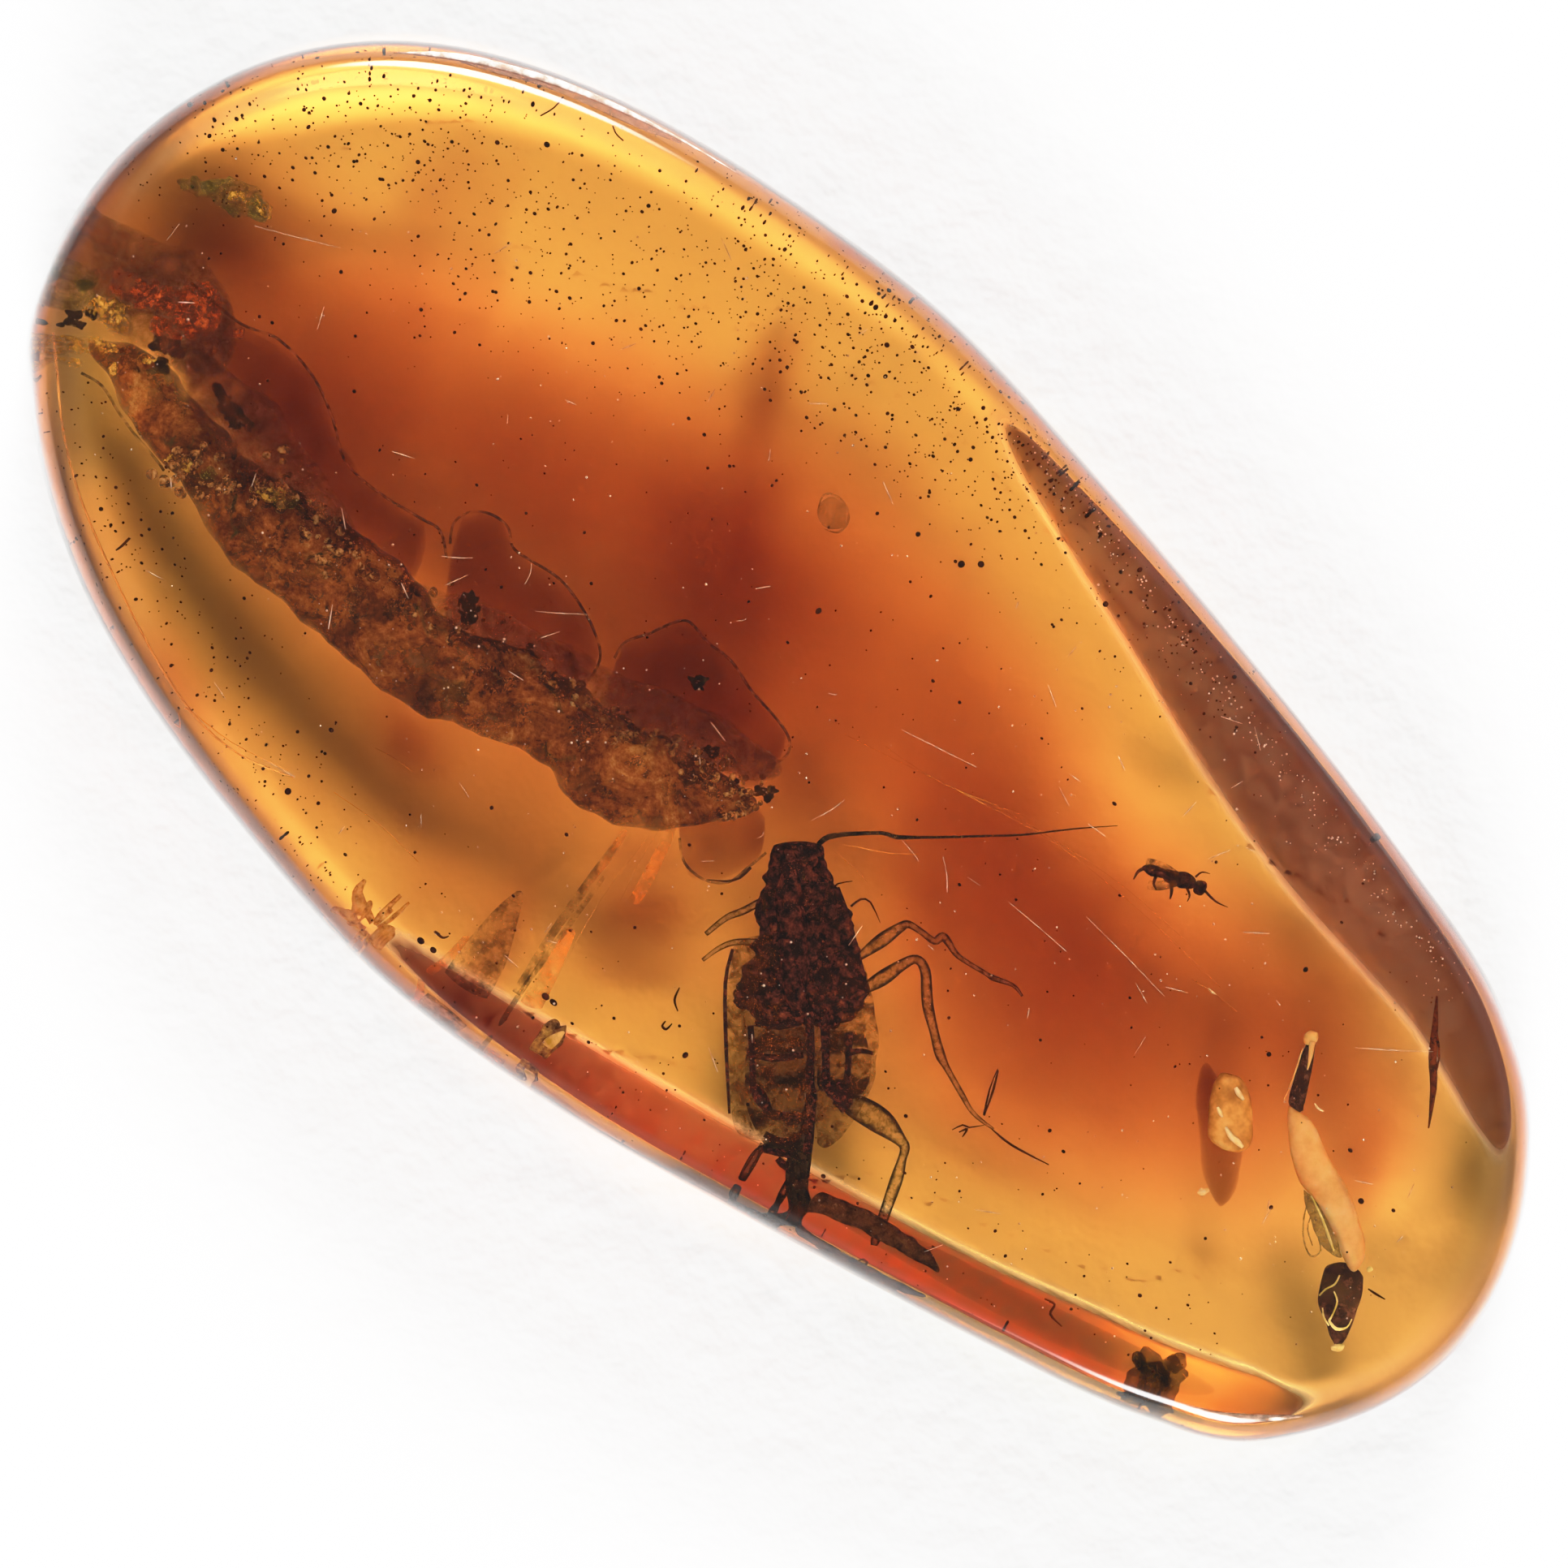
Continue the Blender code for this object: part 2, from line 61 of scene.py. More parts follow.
# How far along, then the inner edge of each bevel.
bevel_edges = (
    (-4.6, 9.0, -7.2), (-3.2, 8.0, -6.15), (-2.0, 6.6, -5.85), (-0.5, 5.7, -5.56),
    (0.8, 5.27, -5.27), (2.9, 4.65, -4.83), (5.0, 4.02, -4.39), (7.4, 3.5, -3.82),
    (9.9, 3.25, -3.09), (11.3, 2.9, -2.66), (13.5, 2.2, -1.9),
)
round_ended = [
    (x, *(half / sqrt(1 - (2 * x / amber_length) ** 2) for half in halves))
    for x, *halves in amber_outline
]


def eased(rows, x):
    """A row of the table between its stations, with level ends and no corners."""
    last = len(rows) - 1
    x = min(max(x, rows[0][0]), rows[last][0])
    i = max(j for j in range(last) if rows[j][0] <= x)
    step = rows[i + 1][0] - rows[i][0]
    t = (x - rows[i][0]) / step

    def slope(j, column):
        if j in (0, last):
            return 0.0
        return (rows[j + 1][column] - rows[j - 1][column]) / (rows[j + 1][0] - rows[j - 1][0])

    return [
        (2 * t**3 - 3 * t**2 + 1) * rows[i][column]
        + (t**3 - 2 * t**2 + t) * step * slope(i, column)
        + (3 * t**2 - 2 * t**3) * rows[i + 1][column]
        + (t**3 - t**2) * step * slope(i + 1, column)
        for column in range(1, len(rows[0]))
    ]


def footprint(a, b):
    """The place of a point (a, b) of the unit disc."""
    x = a * amber_length / 2
    return x, b * eased(round_ended, x)[0 if b >= 0 else 1]


def disc_place(x, y):
    """The reverse of footprint."""
    return 2 * x / amber_length, y / eased(round_ended, x)[0 if y >= 0 else 1]


def rounded_max(first, second, rounding=0.1):
    overlap = max(rounding - abs(first - second), 0.0) / rounding
    return max(first, second) + overlap * overlap * rounding / 4


def rim_share(a, b):
    """How far out a point is, with the rim's roundings as wide at the ends as at the sides."""
    radius = min(1.0, hypot(a, b))
    if radius == 0:
        return 0.0
    lengthened = amber_length / 2 * radius / hypot(amber_length / 2 * b, rounding_half_width * a)
    return max(0.0, 1 - (1 - radius) * lengthened)


def underside(a, b):
    """Height of the flat base, the rounding under the rim and the two bevels."""
    x, y = footprint(a, b)
    outward = max(0.0, (rim_share(a, b) - rim_start) / (1 - rim_start))
    height = rim_height * (1 - (1 - outward**2) ** 0.8)
    plus_edge, minus_edge = eased(bevel_edges, x)
    height = rounded_max(height, bevel_slope * (y - plus_edge))
    return rounded_max(height, bevel_slope * (minus_edge - y))


def top_side(a, b):
    """Height of the low dome, which rounds over steeply to the rim."""
    radius = min(1.0, hypot(a, b))
    along = radius or 1.0
    rim = underside(a / along, b / along)
    shoulder = sqrt(1 - rim_share(a, b) ** shoulder_power)
    rise = (1 - dome_share) * shoulder + dome_share * (1 - radius**2)
    return rim + (amber_height - thin_end_drop * max(0.0, a) ** 2 - rim) * rise


def make_piece(name, bm, material, slot, *nodes, smooth=True):
    """Turns a millimetre bmesh into a finished piece that rides on the one body."""
    bmesh.ops.scale(bm, vec=(MM, MM, MM), verts=bm.verts)
    mesh = bpy.data.meshes.new(name)
    bm.to_mesh(mesh)
    bm.free()
    if smooth:
        mesh.shade_smooth()
    mesh.materials.append(material)
    piece = bpy.data.objects.new(name, mesh)
    bpy.context.scene.collection.objects.link(piece)
    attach(piece, "root")
    if nodes:
        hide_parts(*nodes)
    return piece


def new_finish(name):
    """A finish without shine of its own, as everything has that lies sealed in resin."""
    material = bpy.data.materials.new(name)
    material.use_nodes = True
    shader = material.node_tree.nodes["Principled BSDF"]
    shader.inputs["Specular IOR Level"].default_value = 0.0
    return material, shader


def add(material, kind, inputs=None, **settings):
    """A shader node whose inputs are plain values or other nodes' outputs."""
    node = material.node_tree.nodes.new("ShaderNode" + kind)
    for key, value in settings.items():
        setattr(node, key, value)
    for key, value in (inputs or {}).items():
        feed(material, node.inputs[key], value)
    return node


def feed(material, socket, value):
    if isinstance(value, bpy.types.NodeSocket):
        material.node_tree.links.new(value, socket)
    elif isinstance(value, tuple) and len(value) == 3 and socket.type == "RGBA":
        socket.default_value = (*value, 1.0)
    else:
        socket.default_value = value


def grain(material, size, detail=5.0, roughness=0.6, stretch=(1, 1, 1), turn=0.0, twist=0.0):
    """Noise whose lumps are about size millimetres across, 0 to 1."""
    coords = add(material, "TexCoord").outputs["Object"]
    mapping = add(material, "Mapping", {"Vector": coords, "Scale": stretch})
    mapping.inputs["Rotation"].default_value[2] = radians(turn)
    inputs = {"Scale": 1 / (size * MM), "Detail": detail, "Roughness": roughness}
    inputs["Distortion"] = twist
    return add(material, "TexNoise", {"Vector": mapping.outputs[0], **inputs}).outputs["Fac"]


def ramp(material, factor, *stops):
    """Colours, or greys, along a factor: each stop is a place and a colour."""
    node = add(material, "ValToRGB", {"Fac": factor})
    elements = node.color_ramp.elements
    while len(elements) < len(stops):
        elements.new(1.0)
    for element, (place, colour) in zip(elements, stops, strict=True):
        element.position = place
        colour = colour if isinstance(colour, tuple) else (colour,) * 3
        element.color = (*colour, 1.0)
    return node.outputs["Color"]


def raise_relief(material, shader, height, depth, strength=1.0):
    """Bump of a depth in millimetres."""
    inputs = {"Height": height, "Distance": depth * MM, "Strength": strength}
    feed(material, shader.inputs["Normal"], add(material, "Bump", inputs).outputs["Normal"])


amber_finish, shader = new_finish("clear_amber")
shader.inputs["Transmission Weight"].default_value = 1.0
shader.inputs["Specular IOR Level"].default_value = 0.5
shader.inputs["IOR"].default_value = 1.54
absorbing = add(amber_finish, "VolumeAbsorption", {"Color": (0.985, 0.78, 0.35), "Density": 380.0})
output = amber_finish.node_tree.nodes["Material Output"]
feed(amber_finish, output.inputs["Volume"], absorbing.outputs[0])
# Base colour from the vertex colour skin: painted shade at the rim and painted reflections on the bevel faces.
skin = add(amber_finish, "Attribute", attribute_name="skin").outputs["Color"]
feed(amber_finish, shader.inputs["Base Color"], skin)
ground = add(amber_finish, "Attribute", attribute_name="ground").outputs["Fac"]
grinding = ramp(amber_finish, grain(amber_finish, 0.4, detail=3), (0.4, 0.38), (0.6, 0.46))
rough = add(amber_finish, "Math", {0: ground, 1: grinding}, operation="MULTIPLY").outputs[0]
feed(amber_finish, shader.inputs["Roughness"], rough)

# The rim is tinted darker red towards its edge: painted shade. The bevels' ground faces are
# tinted from red to brown, painted with the bands reflected in them: how far along, then the colour of each face.
clear_skin = Vector((1.0, 0.92, 0.74))
rim_painted_shade = Vector((0.48, 0.17, 0.06))
plus_bevel_painted_reflection = (
    (-14.0, 1.0, 0.64, 0.33), (0.6, 1.0, 0.64, 0.33), (2.4, 0.95, 0.48, 0.29),
    (5.5, 0.42, 0.23, 0.21), (8.0, 0.42, 0.20, 0.19), (10.0, 0.27, 0.15, 0.16), (14.0, 0.27, 0.15, 0.16),
)
minus_bevel_painted_reflection = (
    (-14.0, 0.20, 0.06, 0.05), (-0.8, 0.20, 0.06, 0.05), (1.4, 0.98, 0.19, 0.10),
    (3.0, 0.98, 0.27, 0.12), (6.0, 0.10, 0.09, 0.05), (7.0, 0.08, 0.09, 0.05), (14.0, 0.09, 0.09, 0.05),
)

bm = bmesh.new()
bmesh.ops.create_uvsphere(bm, u_segments=256, v_segments=168, radius=1.0)
ground = bm.verts.layers.float.new("ground")
skin = bm.verts.layers.float_color.new("skin")
for vert in bm.verts:
    b, c, a = vert.co
    vert.co = (*footprint(a, b), top_side(a, b) if c >= 0 else underside(a, b))
    # Painted shade: the tint turns to dark red over the outermost rim.
    colour = clear_skin.lerp(rim_painted_shade, max(0.0, rim_share(a, b) - 0.88) / 0.12)
    if c < 0:
        plus_edge, minus_edge = eased(bevel_edges, vert.co.x)
        past_edge = max(vert.co.y - plus_edge, minus_edge - vert.co.y)
        bevelled = min(1.0, max(0.0, past_edge * 8 + 1))
        vert[ground] = bevelled
        # Painted reflection: each bevel face takes the colour of the band seen reflected in it.
        face = Vector(eased(plus_bevel_painted_reflection if vert.co.y > 0 else minus_bevel_painted_reflection, vert.co.x))
        colour = colour.lerp(face, bevelled)
    vert[skin] = (*colour, 1.0)
make_piece("amber", bm, amber_finish, "amber", "amber_upper", "amber_lower")

# ---------------------------------------------------------------- darker flows in the resin, and painted shadows
# The resin ran down the tree in several flows. A darker one lies low inside the clear piece; its thickest patches are
# painted shadows, laid where the strip, the insect and smaller bits shade the paper below. It is the same resin with
# more colour, so its surface neither shines nor bends light.

VIEW_TURN = 41.2
drawing_scale = 78.93
drawing_middle = (968.5, 929.4)
wall = 0.06


def inward(x, y, z):
    """The nearest place that lies inside the amber with some wall round it."""
    a, b = disc_place(x, y)
    reach = hypot(a, b)
    if reach > 0.975:
        a, b = a * 0.975 / reach, b * 0.975 / reach
        x, y = footprint(a, b)
    low, high = underside(a, b) + wall, top_side(a, b) - wall
    return Vector((x, y, min(max(z, low), max(high, low))))


def surface_height(x, y):
    return top_side(*disc_place(x, y))


def spot(across, down, z):
    """Where something at height z lies that shows through the polished top at this place
    of the drawing, once the bend of the light at the surface is undone."""
    right, up = across - drawing_middle[0], down - drawing_middle[1]
    turn_cos, turn_sin = cos(radians(VIEW_TURN)), sin(radians(VIEW_TURN))
    x = (turn_cos * right + turn_sin * up) / drawing_scale
    y = (turn_sin * right - turn_cos * up) / drawing_scale
    step = 0.001
    level = surface_height(x, y)
    slope = Vector((
        (surface_height(x + step, y) - level) / step,
        (surface_height(x, y + step) - level) / step,
    ))
    normal = Vector((-slope.x, -slope.y, 1.0)).normalized()
    index = 1 / 1.54
    bent = index * Vector((0, 0, -1))
    bent += (index * normal.z - sqrt(1 - index**2 * (1 - normal.z**2))) * normal
    run = (z - level) / bent.z
    return Vector((x + bent.x * run, y + bent.y * run, z))


def flow_finish(name, colour, density):
    material, _ = new_finish(name)
    clear = add(material, "BsdfTransparent", {"Color": (1.0, 1.0, 1.0)})
    output = material.node_tree.nodes["Material Output"]
    feed(material, output.inputs["Surface"], clear.outputs[0])
    absorbing = add(material, "VolumeAbsorption", {"Color": colour, "Density": density})
    feed(material, output.inputs["Volume"], absorbing.outputs[0])
    return material


def drawing_place(x, y):
    """Where a place of the amber shows on the drawing: across and down."""
    turn_cos, turn_sin = cos(radians(VIEW_TURN)), sin(radians(VIEW_TURN))
    across = drawing_middle[0] + (turn_cos * x + turn_sin * y) * drawing_scale
    return across, drawing_middle[1] + (turn_sin * x - turn_cos * y) * drawing_scale


# Across and down on the drawing, half length, half width, angle, thickness in millimetres. Most patches are painted
# shadows of the strip and the insect.
flow_and_shadow_patches = (
    (430, 430, 330, 140, -38, 1.3),
    (720, 590, 330, 150, -30, 1.5),
    (930, 700, 210, 150, -20, 1.7),
    (1130, 880, 300, 190, -48, 1.0),
    (1300, 1125, 350, 115, -36, 2.0),
    (1590, 1250, 170, 95, -50, 1.4),
    (1350, 1320, 260, 150, -35, 1.3),
    (1190, 1290, 120, 140, -80, 0.8),
    (380, 760, 330, 120, -56, 0.4),
    (660, 960, 330, 150, -32, 0.6),
    (935, 500, 95, 28, 72, 1.0),
    (930, 650, 70, 40, 60, 0.6),
    (515, 905, 60, 42, -60, 1.3),
    (805, 1135, 65, 42, 25, 1.3),
    (240, 825, 90, 45, -60, 0.8),
    (150, 340, 110, 62, -35, 1.2),
    (300, 325, 120, 46, -25, 0.8),
    (262, 240, 80, 22, -15, 0.3),
    (400, 540, 230, 80, -52, 1.1),
    (630, 760, 220, 85, -38, 1.2),
    (830, 880, 170, 85, -30, 1.3),
    (980, 880, 130, 90, -40, 0.5),
    (1140, 1130, 90, 90, 0, 0.8),
    (1690, 1400, 90, 60, 60, 0.9),
    (1200, 860, 120, 80, -40, 0.5),
    (600, 1060, 330, 110, -35, 0.35),
    (170, 640, 120, 60, -70, 0.3),
    (520, 250, 90, 60, 60, 0.35),
    (610, 1190, 120, 30, 60, 0.9),
    (985, 1200, 190, 90, -80, 1.0),
)
seam = ((645, 215), (600, 445))
seam_step = 0.28
thinnest = 0.05
flow_floor = 0.25


def seam_thickness(here):
    """The older layer ends along a line and is thicker on its far side."""
    start, end = Vector(seam[0]), Vector(seam[1])
    along = (end - start).normalized()
    offset = here - start
    run = offset.dot(along) / (end - start).length
    side = offset.cross(along)
    if not 0 < run < 1 or side > 0:
        return 0.0
    return seam_step * min(1.0, -side / 10) * max(0.0, 1 + side / 140) * sin(pi * run) ** 0.5


def flow_and_shadow_thickness(x, y):
    here = Vector(drawing_place(x, y))
    for size, reach in ((160, 34), (45, 14), (16, 5)):
        drift = noise.noise_vector(Vector((here.x / size, here.y / size, size)))
        here += drift.xy * reach
    total = seam_thickness(here)
    for across, down, long, wide, angle, thick in flow_and_shadow_patches:
        offset = Matrix.Rotation(radians(angle), 2) @ (here - Vector((across, down)))
        total += thick * 2.718 ** (-1.6 * ((offset.x / long) ** 2 + (offset.y / wide) ** 2))
    return max(0.0, total - thinnest)


# Painted shadows: this flow darkens the amber where inclusions shade the paper below.
brown_flow_and_shadow = flow_finish("brown_flow_and_shadow", (0.52, 0.11, 0.13), 760.0)
bm = bmesh.new()
bmesh.ops.create_grid(bm, x_segments=190, y_segments=120, size=0.965)
thickness = {}
for vert in bm.verts:
    a, b = vert.co.x, vert.co.y * sqrt(1 - vert.co.x**2)
    x, y = footprint(a, b)
    thick = flow_and_shadow_thickness(x, y)
    low = max(flow_floor, underside(a, b) + wall)
    vert.co = (x, y, low)
    thickness[vert] = min(thick, max(0.0, top_side(a, b) - wall - low))
bare = [face for face in bm.faces if not any(thickness[vert] > 0 for vert in face.verts)]
bmesh.ops.delete(bm, geom=bare, context="FACES")
raised = {vert.co.copy().freeze(): thickness[vert] for vert in bm.verts}
under_faces = bm.faces[:]
copied = bmesh.ops.duplicate(bm, geom=under_faces)
for vert in [item for item in copied["geom"] if isinstance(item, bmesh.types.BMVert)]:
    vert.co.z += raised[vert.co.copy().freeze()]
bmesh.ops.reverse_faces(bm, faces=under_faces)
bmesh.ops.remove_doubles(bm, verts=bm.verts, dist=1e-5)
make_piece("resin_flow_and_shadows", bm, brown_flow_and_shadow, "amber")

# A smoke-coloured volume along the rear half of the narrow bevel: painted shade, darkening the band seen in that bevel.
bevel_band_shade = flow_finish("bevel_band_shade", (0.45, 0.66, 0.66), 2600.0)
bevel_band_shade_rows = (
    (998, 1451, 975, 1497, 2.4), (1113, 1513, 1091, 1560, 2.4), (1313, 1613, 1293, 1657, 2.4),
    (1453, 1680, 1436, 1716, 2.3), (1500, 1702, 1488, 1724, 2.2),
)

# ---------------------------------------------------------------- the insect
# A winged insect about six millimetres long, mummified in the resin. Its shell is thin, so
# light shows through the wings, the abdomen and the middles of the legs.

insect_level = 2.3


def outward(bm):
    """The same closed shape with its faces pointing out."""
    if bm.calc_volume(signed=True) < 0:
        bmesh.ops.reverse_faces(bm, faces=bm.faces)
    return bm


def joined(parts):
    """One bmesh of several closed shapes."""
    whole = bmesh.new()
    for part in parts:
        mesh = bpy.data.meshes.new("part")
        outward(part).to_mesh(mesh)
        part.free()
        whole.from_mesh(mesh)
        bpy.data.meshes.remove(mesh)
    return whole


def inside(route):
    """A route of (across, down, height, radius) on the drawing, placed in the amber."""
    return [(spot(across, down, z), radius) for across, down, z, radius in route]


def rounded_route(route, steps):
    """A smooth route through the same places, with some steps between each two."""
    rows = [(i, *place, radius) for i, (place, radius) in enumerate(route)]
    count = (len(rows) - 1) * steps
    smooth = [eased_open(rows, i / steps) for i in range(count + 1)]
    return [(Vector(row[:3]), row[3]) for row in smooth]


def eased_open(rows, t):
    """A Catmull-Rom reading of the table, whose ends aren't level."""
    last = len(rows) - 1
    i = min(int(t), last - 1)
    t -= i
    before, after = rows[max(i - 1, 0)][1:], rows[min(i + 2, last)][1:]
    return [
        0.5 * (2 * p + (q - o) * t + (2 * o - 5 * p + 4 * q - r) * t**2
               + (3 * p - o - 3 * q + r) * t**3)
        for o, p, q, r in zip(before, rows[i][1:], rows[i + 1][1:], after, strict=True)
    ]


def rod(route, sides=8, steps=3):
    """A closed round rod along a route of places and radii."""
    route = rounded_route(route, steps)
    bm = bmesh.new()
    frames = []
    for i, (place, radius) in enumerate(route):
        ahead = route[min(i + 1, len(route) - 1)][0] - route[max(i - 1, 0)][0]
        turned = ahead.to_track_quat("Z", "Y").to_matrix().to_4x4()
        frames.append(Matrix.Translation(place) @ turned @ Matrix.Scale(max(radius, 0.004), 4))
    bmesh.ops.create_circle(bm, cap_ends=True, segments=sides, radius=1.0, matrix=frames[0])
    edges = bm.edges[:]
    for was, now in zip(frames, frames[1:]):
        made = bmesh.ops.extrude_edge_only(bm, edges=edges)["geom"]
        edges = [item for item in made if isinstance(item, bmesh.types.BMEdge)
                 and len(item.link_faces) == 1]
        verts = [item for item in made if isinstance(item, bmesh.types.BMVert)]
        bmesh.ops.transform(bm, matrix=now @ was.inverted(), verts=verts)
    bmesh.ops.edgeloop_fill(bm, edges=edges)
    bmesh.ops.recalc_face_normals(bm, faces=bm.faces)
    return bm


def lump(place, radii, turn=0.0, bumps=0.0, size=1.0, seed=0, segments=(28, 18)):
    """An ellipsoid with bumps of some depth and size."""
    bm = bmesh.new()
    bmesh.ops.create_uvsphere(bm, u_segments=segments[0], v_segments=segments[1], radius=1.0)
    turned = Matrix.Rotation(radians(VIEW_TURN + turn), 4, "Z")
    shape = Matrix.Translation(place) @ turned @ Matrix.Diagonal((*radii, 1.0))
    for vert in bm.verts:
        there = shape @ vert.co
        push = bumps * noise.noise(there / size + Vector((seed, seed, 0)))
        vert.co = there + (there - place).normalized() * push
    return bm


def slab(rows, thickness, blunt=2.2, bumps=0.0, size=1.0, seed=0, segments=(16, 40)):
    """A closed slab between two edges. A row is the drawing place of both and a height."""
    bm = bmesh.new()
    bmesh.ops.create_uvsphere(bm, u_segments=segments[0], v_segments=segments[1], radius=1.0)
    placed = [
        (i, *spot(x0, y0, z).xy, *spot(x1, y1, z)) for i, (x0, y0, x1, y1, z) in enumerate(rows)
    ]
    for vert in bm.verts:
        b, c, a = vert.co
        x0, y0, x1, y1, z = eased_open(placed, (a + 1) / 2 * (len(rows) - 1))
        roundness = sqrt(max(1e-6, 1 - a * a))
        squarer = min(1.0, roundness * blunt) / roundness
        share = (1 + b * squarer) / 2
        there = Vector((x0 + (x1 - x0) * share, y0 + (y1 - y0) * share, z))
        offset = Vector((seed, 2 * seed, c))
        push = bumps * noise.noise(there / size + offset)
        along = Vector((x1 - x0, y1 - y0, 0)).normalized() * b * push
        vert.co = inward(*(there + along + Vector((0, 0, c * (squarer * thickness / 2 + push)))))
    return outward(bm)


def shell_finish(name, colours, opacity, size, roughness=0.5):
    """Mottled insect shell: colour stops and opacity stops along noise of a size."""
    material, shader = new_finish(name)
    mottle = grain(material, size, detail=8, roughness=0.7)
    feed(material, shader.inputs["Base Color"], ramp(material, mottle, *colours))
    patches = grain(material, size * 2.2, detail=6, twist=0.6)
    feed(material, shader.inputs["Alpha"], ramp(material, patches, *opacity))
    shader.inputs["Roughness"].default_value = roughness
    raise_relief(material, shader, mottle, 0.03, 0.6)
    return material, shader


def soft_edge(material, shader, mottle, *stops):
    """Opacity that fades where a thin lump turns down at its edge."""
    normal = add(material, "NewGeometry").outputs["Normal"]
    up = add(material, "SeparateXYZ", {"Vector": normal}).outputs["Z"]
    level = add(material, "Math", {0: up}, operation="ABSOLUTE").outputs[0]
    faded = add(material, "Math", {0: level, 1: mottle}, operation="MULTIPLY").outputs[0]
    feed(material, shader.inputs["Alpha"], ramp(material, faded, *stops))


# The painted shade along the narrow bevel.
make_piece("bevel_band_shade", slab(bevel_band_shade_rows, 0.5, blunt=1.1, segments=(16, 60)), bevel_band_shade, "amber")

body_colours = (
    (0.30, (0.003, 0.002, 0.003)), (0.45, (0.014, 0.007, 0.010)), (0.53, (0.055, 0.017, 0.020)),
    (0.61, (0.12, 0.032, 0.028)), (0.74, (0.28, 0.09, 0.055)),
)
trunk_finish, shader = shell_finish("dark_shell", body_colours, ((0.48, 1.0), (0.70, 0.55)), 0.13)
trunk_block = (
    (956, 1036, 1012, 1036, 2.30), (946, 1058, 1020, 1064, 2.34), (940, 1090, 1030, 1092, 2.36),
    (934, 1122, 1044, 1120, 2.36), (930, 1152, 1054, 1150, 2.36), (926, 1182, 1062, 1184, 2.34),
    (910, 1214, 1068, 1218, 2.32), (908, 1236, 1066, 1240, 2.30), (945, 1262, 1044, 1262, 2.28),
)
crest = (
    (962, 1044, 2.42, 0.12), (975, 1062, 2.50, 0.16), (972, 1100, 2.54, 0.22),
    (976, 1140, 2.56, 0.24), (978, 1180, 2.56, 0.22), (980, 1220, 2.50, 0.20), (992, 1250, 2.44, 0.12),
)
flank = (
    (1028, 1094, 2.36, 0.08), (1040, 1130, 2.38, 0.10), (1050, 1170, 2.38, 0.10), (1060, 1214, 2.34, 0.10),
    (1048, 1246, 2.32, 0.07),
)
parts = [
    slab(trunk_block, 0.42, blunt=2.6, bumps=0.17, size=0.17, segments=(90, 110)),
    rod(inside(crest), 14, 4), rod(inside(flank), 10, 4),
    lump(spot(962, 1052, 2.40), (0.14, 0.16, 0.14), bumps=0.06, size=0.15),
    lump(spot(1004, 1050, 2.40), (0.13, 0.15, 0.14), bumps=0.06, size=0.15),
    lump(spot(920, 1226, 2.34), (0.22, 0.18, 0.16), bumps=0.10, size=0.2, seed=6),
    lump(spot(1018, 1252, 2.30), (0.22, 0.18, 0.16), bumps=0.08, size=0.2, seed=7),
]
make_piece("insect_trunk", joined(parts), trunk_finish, "insect", "insect")

# The abdomen, with a dark band at each ring.
abdomen_finish, shader = new_finish("banded_shell")
coords = add(abdomen_finish, "TexCoord").outputs["Object"]
mapping = add(abdomen_finish, "Mapping", {"Vector": coords}, vector_type="TEXTURE")
mapping.inputs["Location"].default_value = spot(965, 1330, 2.2) * MM
mapping.inputs["Rotation"].default_value[2] = radians(VIEW_TURN)
bands = add(abdomen_finish, "TexWave", {
    "Vector": mapping.outputs[0], "Scale": 560.0, "Distortion": 5.0, "Detail": 4.0,
    "Detail Scale": 2.5,
}, bands_direction="Y").outputs["Fac"]
mottle = grain(abdomen_finish, 0.14, detail=8, roughness=0.7)
both = add(abdomen_finish, "Math", {0: bands, 1: mottle}, operation="ADD").outputs[0]
colours = ((0.6, (0.012, 0.006, 0.004)), (0.95, (0.10, 0.03, 0.008)), (1.0, (0.16, 0.05, 0.01)))
feed(abdomen_finish, shader.inputs["Base Color"], ramp(abdomen_finish, both, *colours))
opacity = ((0.55, 0.85), (0.80, 0.45), (1.0, 0.10))
feed(abdomen_finish, shader.inputs["Alpha"], ramp(abdomen_finish, both, *opacity))
raise_relief(abdomen_finish, shader, mottle, 0.02, 0.6)
parts = [
    lump(spot(962, 1335, 2.20), (0.54, 1.05, 0.28), bumps=0.10, size=0.5, segments=(40, 40)),
    lump(spot(1040, 1310, 2.18), (0.44, 0.72, 0.22), bumps=0.10, size=0.4, segments=(32, 32)),
]
make_piece("insect_abdomen", joined(parts), abdomen_finish, "insect")

# Wings folded flat along the body, one over the other, with their stiff front edges.
wing_colours = ((0.35, (0.035, 0.012, 0.004)), (0.5, (0.09, 0.03, 0.008)), (0.65, (0.17, 0.06, 0.015)))
wing_finish, _ = shell_finish("wing_membrane", wing_colours, ((0.36, 0.70), (0.48, 0.32), (0.60, 0.06)), 0.10, 0.35)
left_wing = (
    (930, 1150, 975, 1150, 2.46), (903, 1168, 985, 1172, 2.48), (894, 1210, 992, 1215, 2.48),
    (895, 1270, 998, 1275, 2.48), (897, 1330, 1000, 1335, 2.48), (903, 1380, 1000, 1385, 2.46),
    (915, 1402, 975, 1408, 2.44),
)
right_wing = (
    (1000, 1160, 1050, 1165, 2.38), (1000, 1200, 1068, 1200, 2.38),
    (1000, 1260, 1080, 1260, 2.38), (1000, 1320, 1078, 1320, 2.38),
    (1003, 1370, 1062, 1362, 2.38), (1008, 1415, 1030, 1408, 2.38),
)
parts = [
    slab(left_wing, 0.05, bumps=0.05, size=0.35, segments=(24, 60)),
    slab(right_wing, 0.05, bumps=0.05, size=0.35, segments=(24, 60), seed=4),
]
make_piece("insect_wings", joined(parts), wing_finish, "insect")

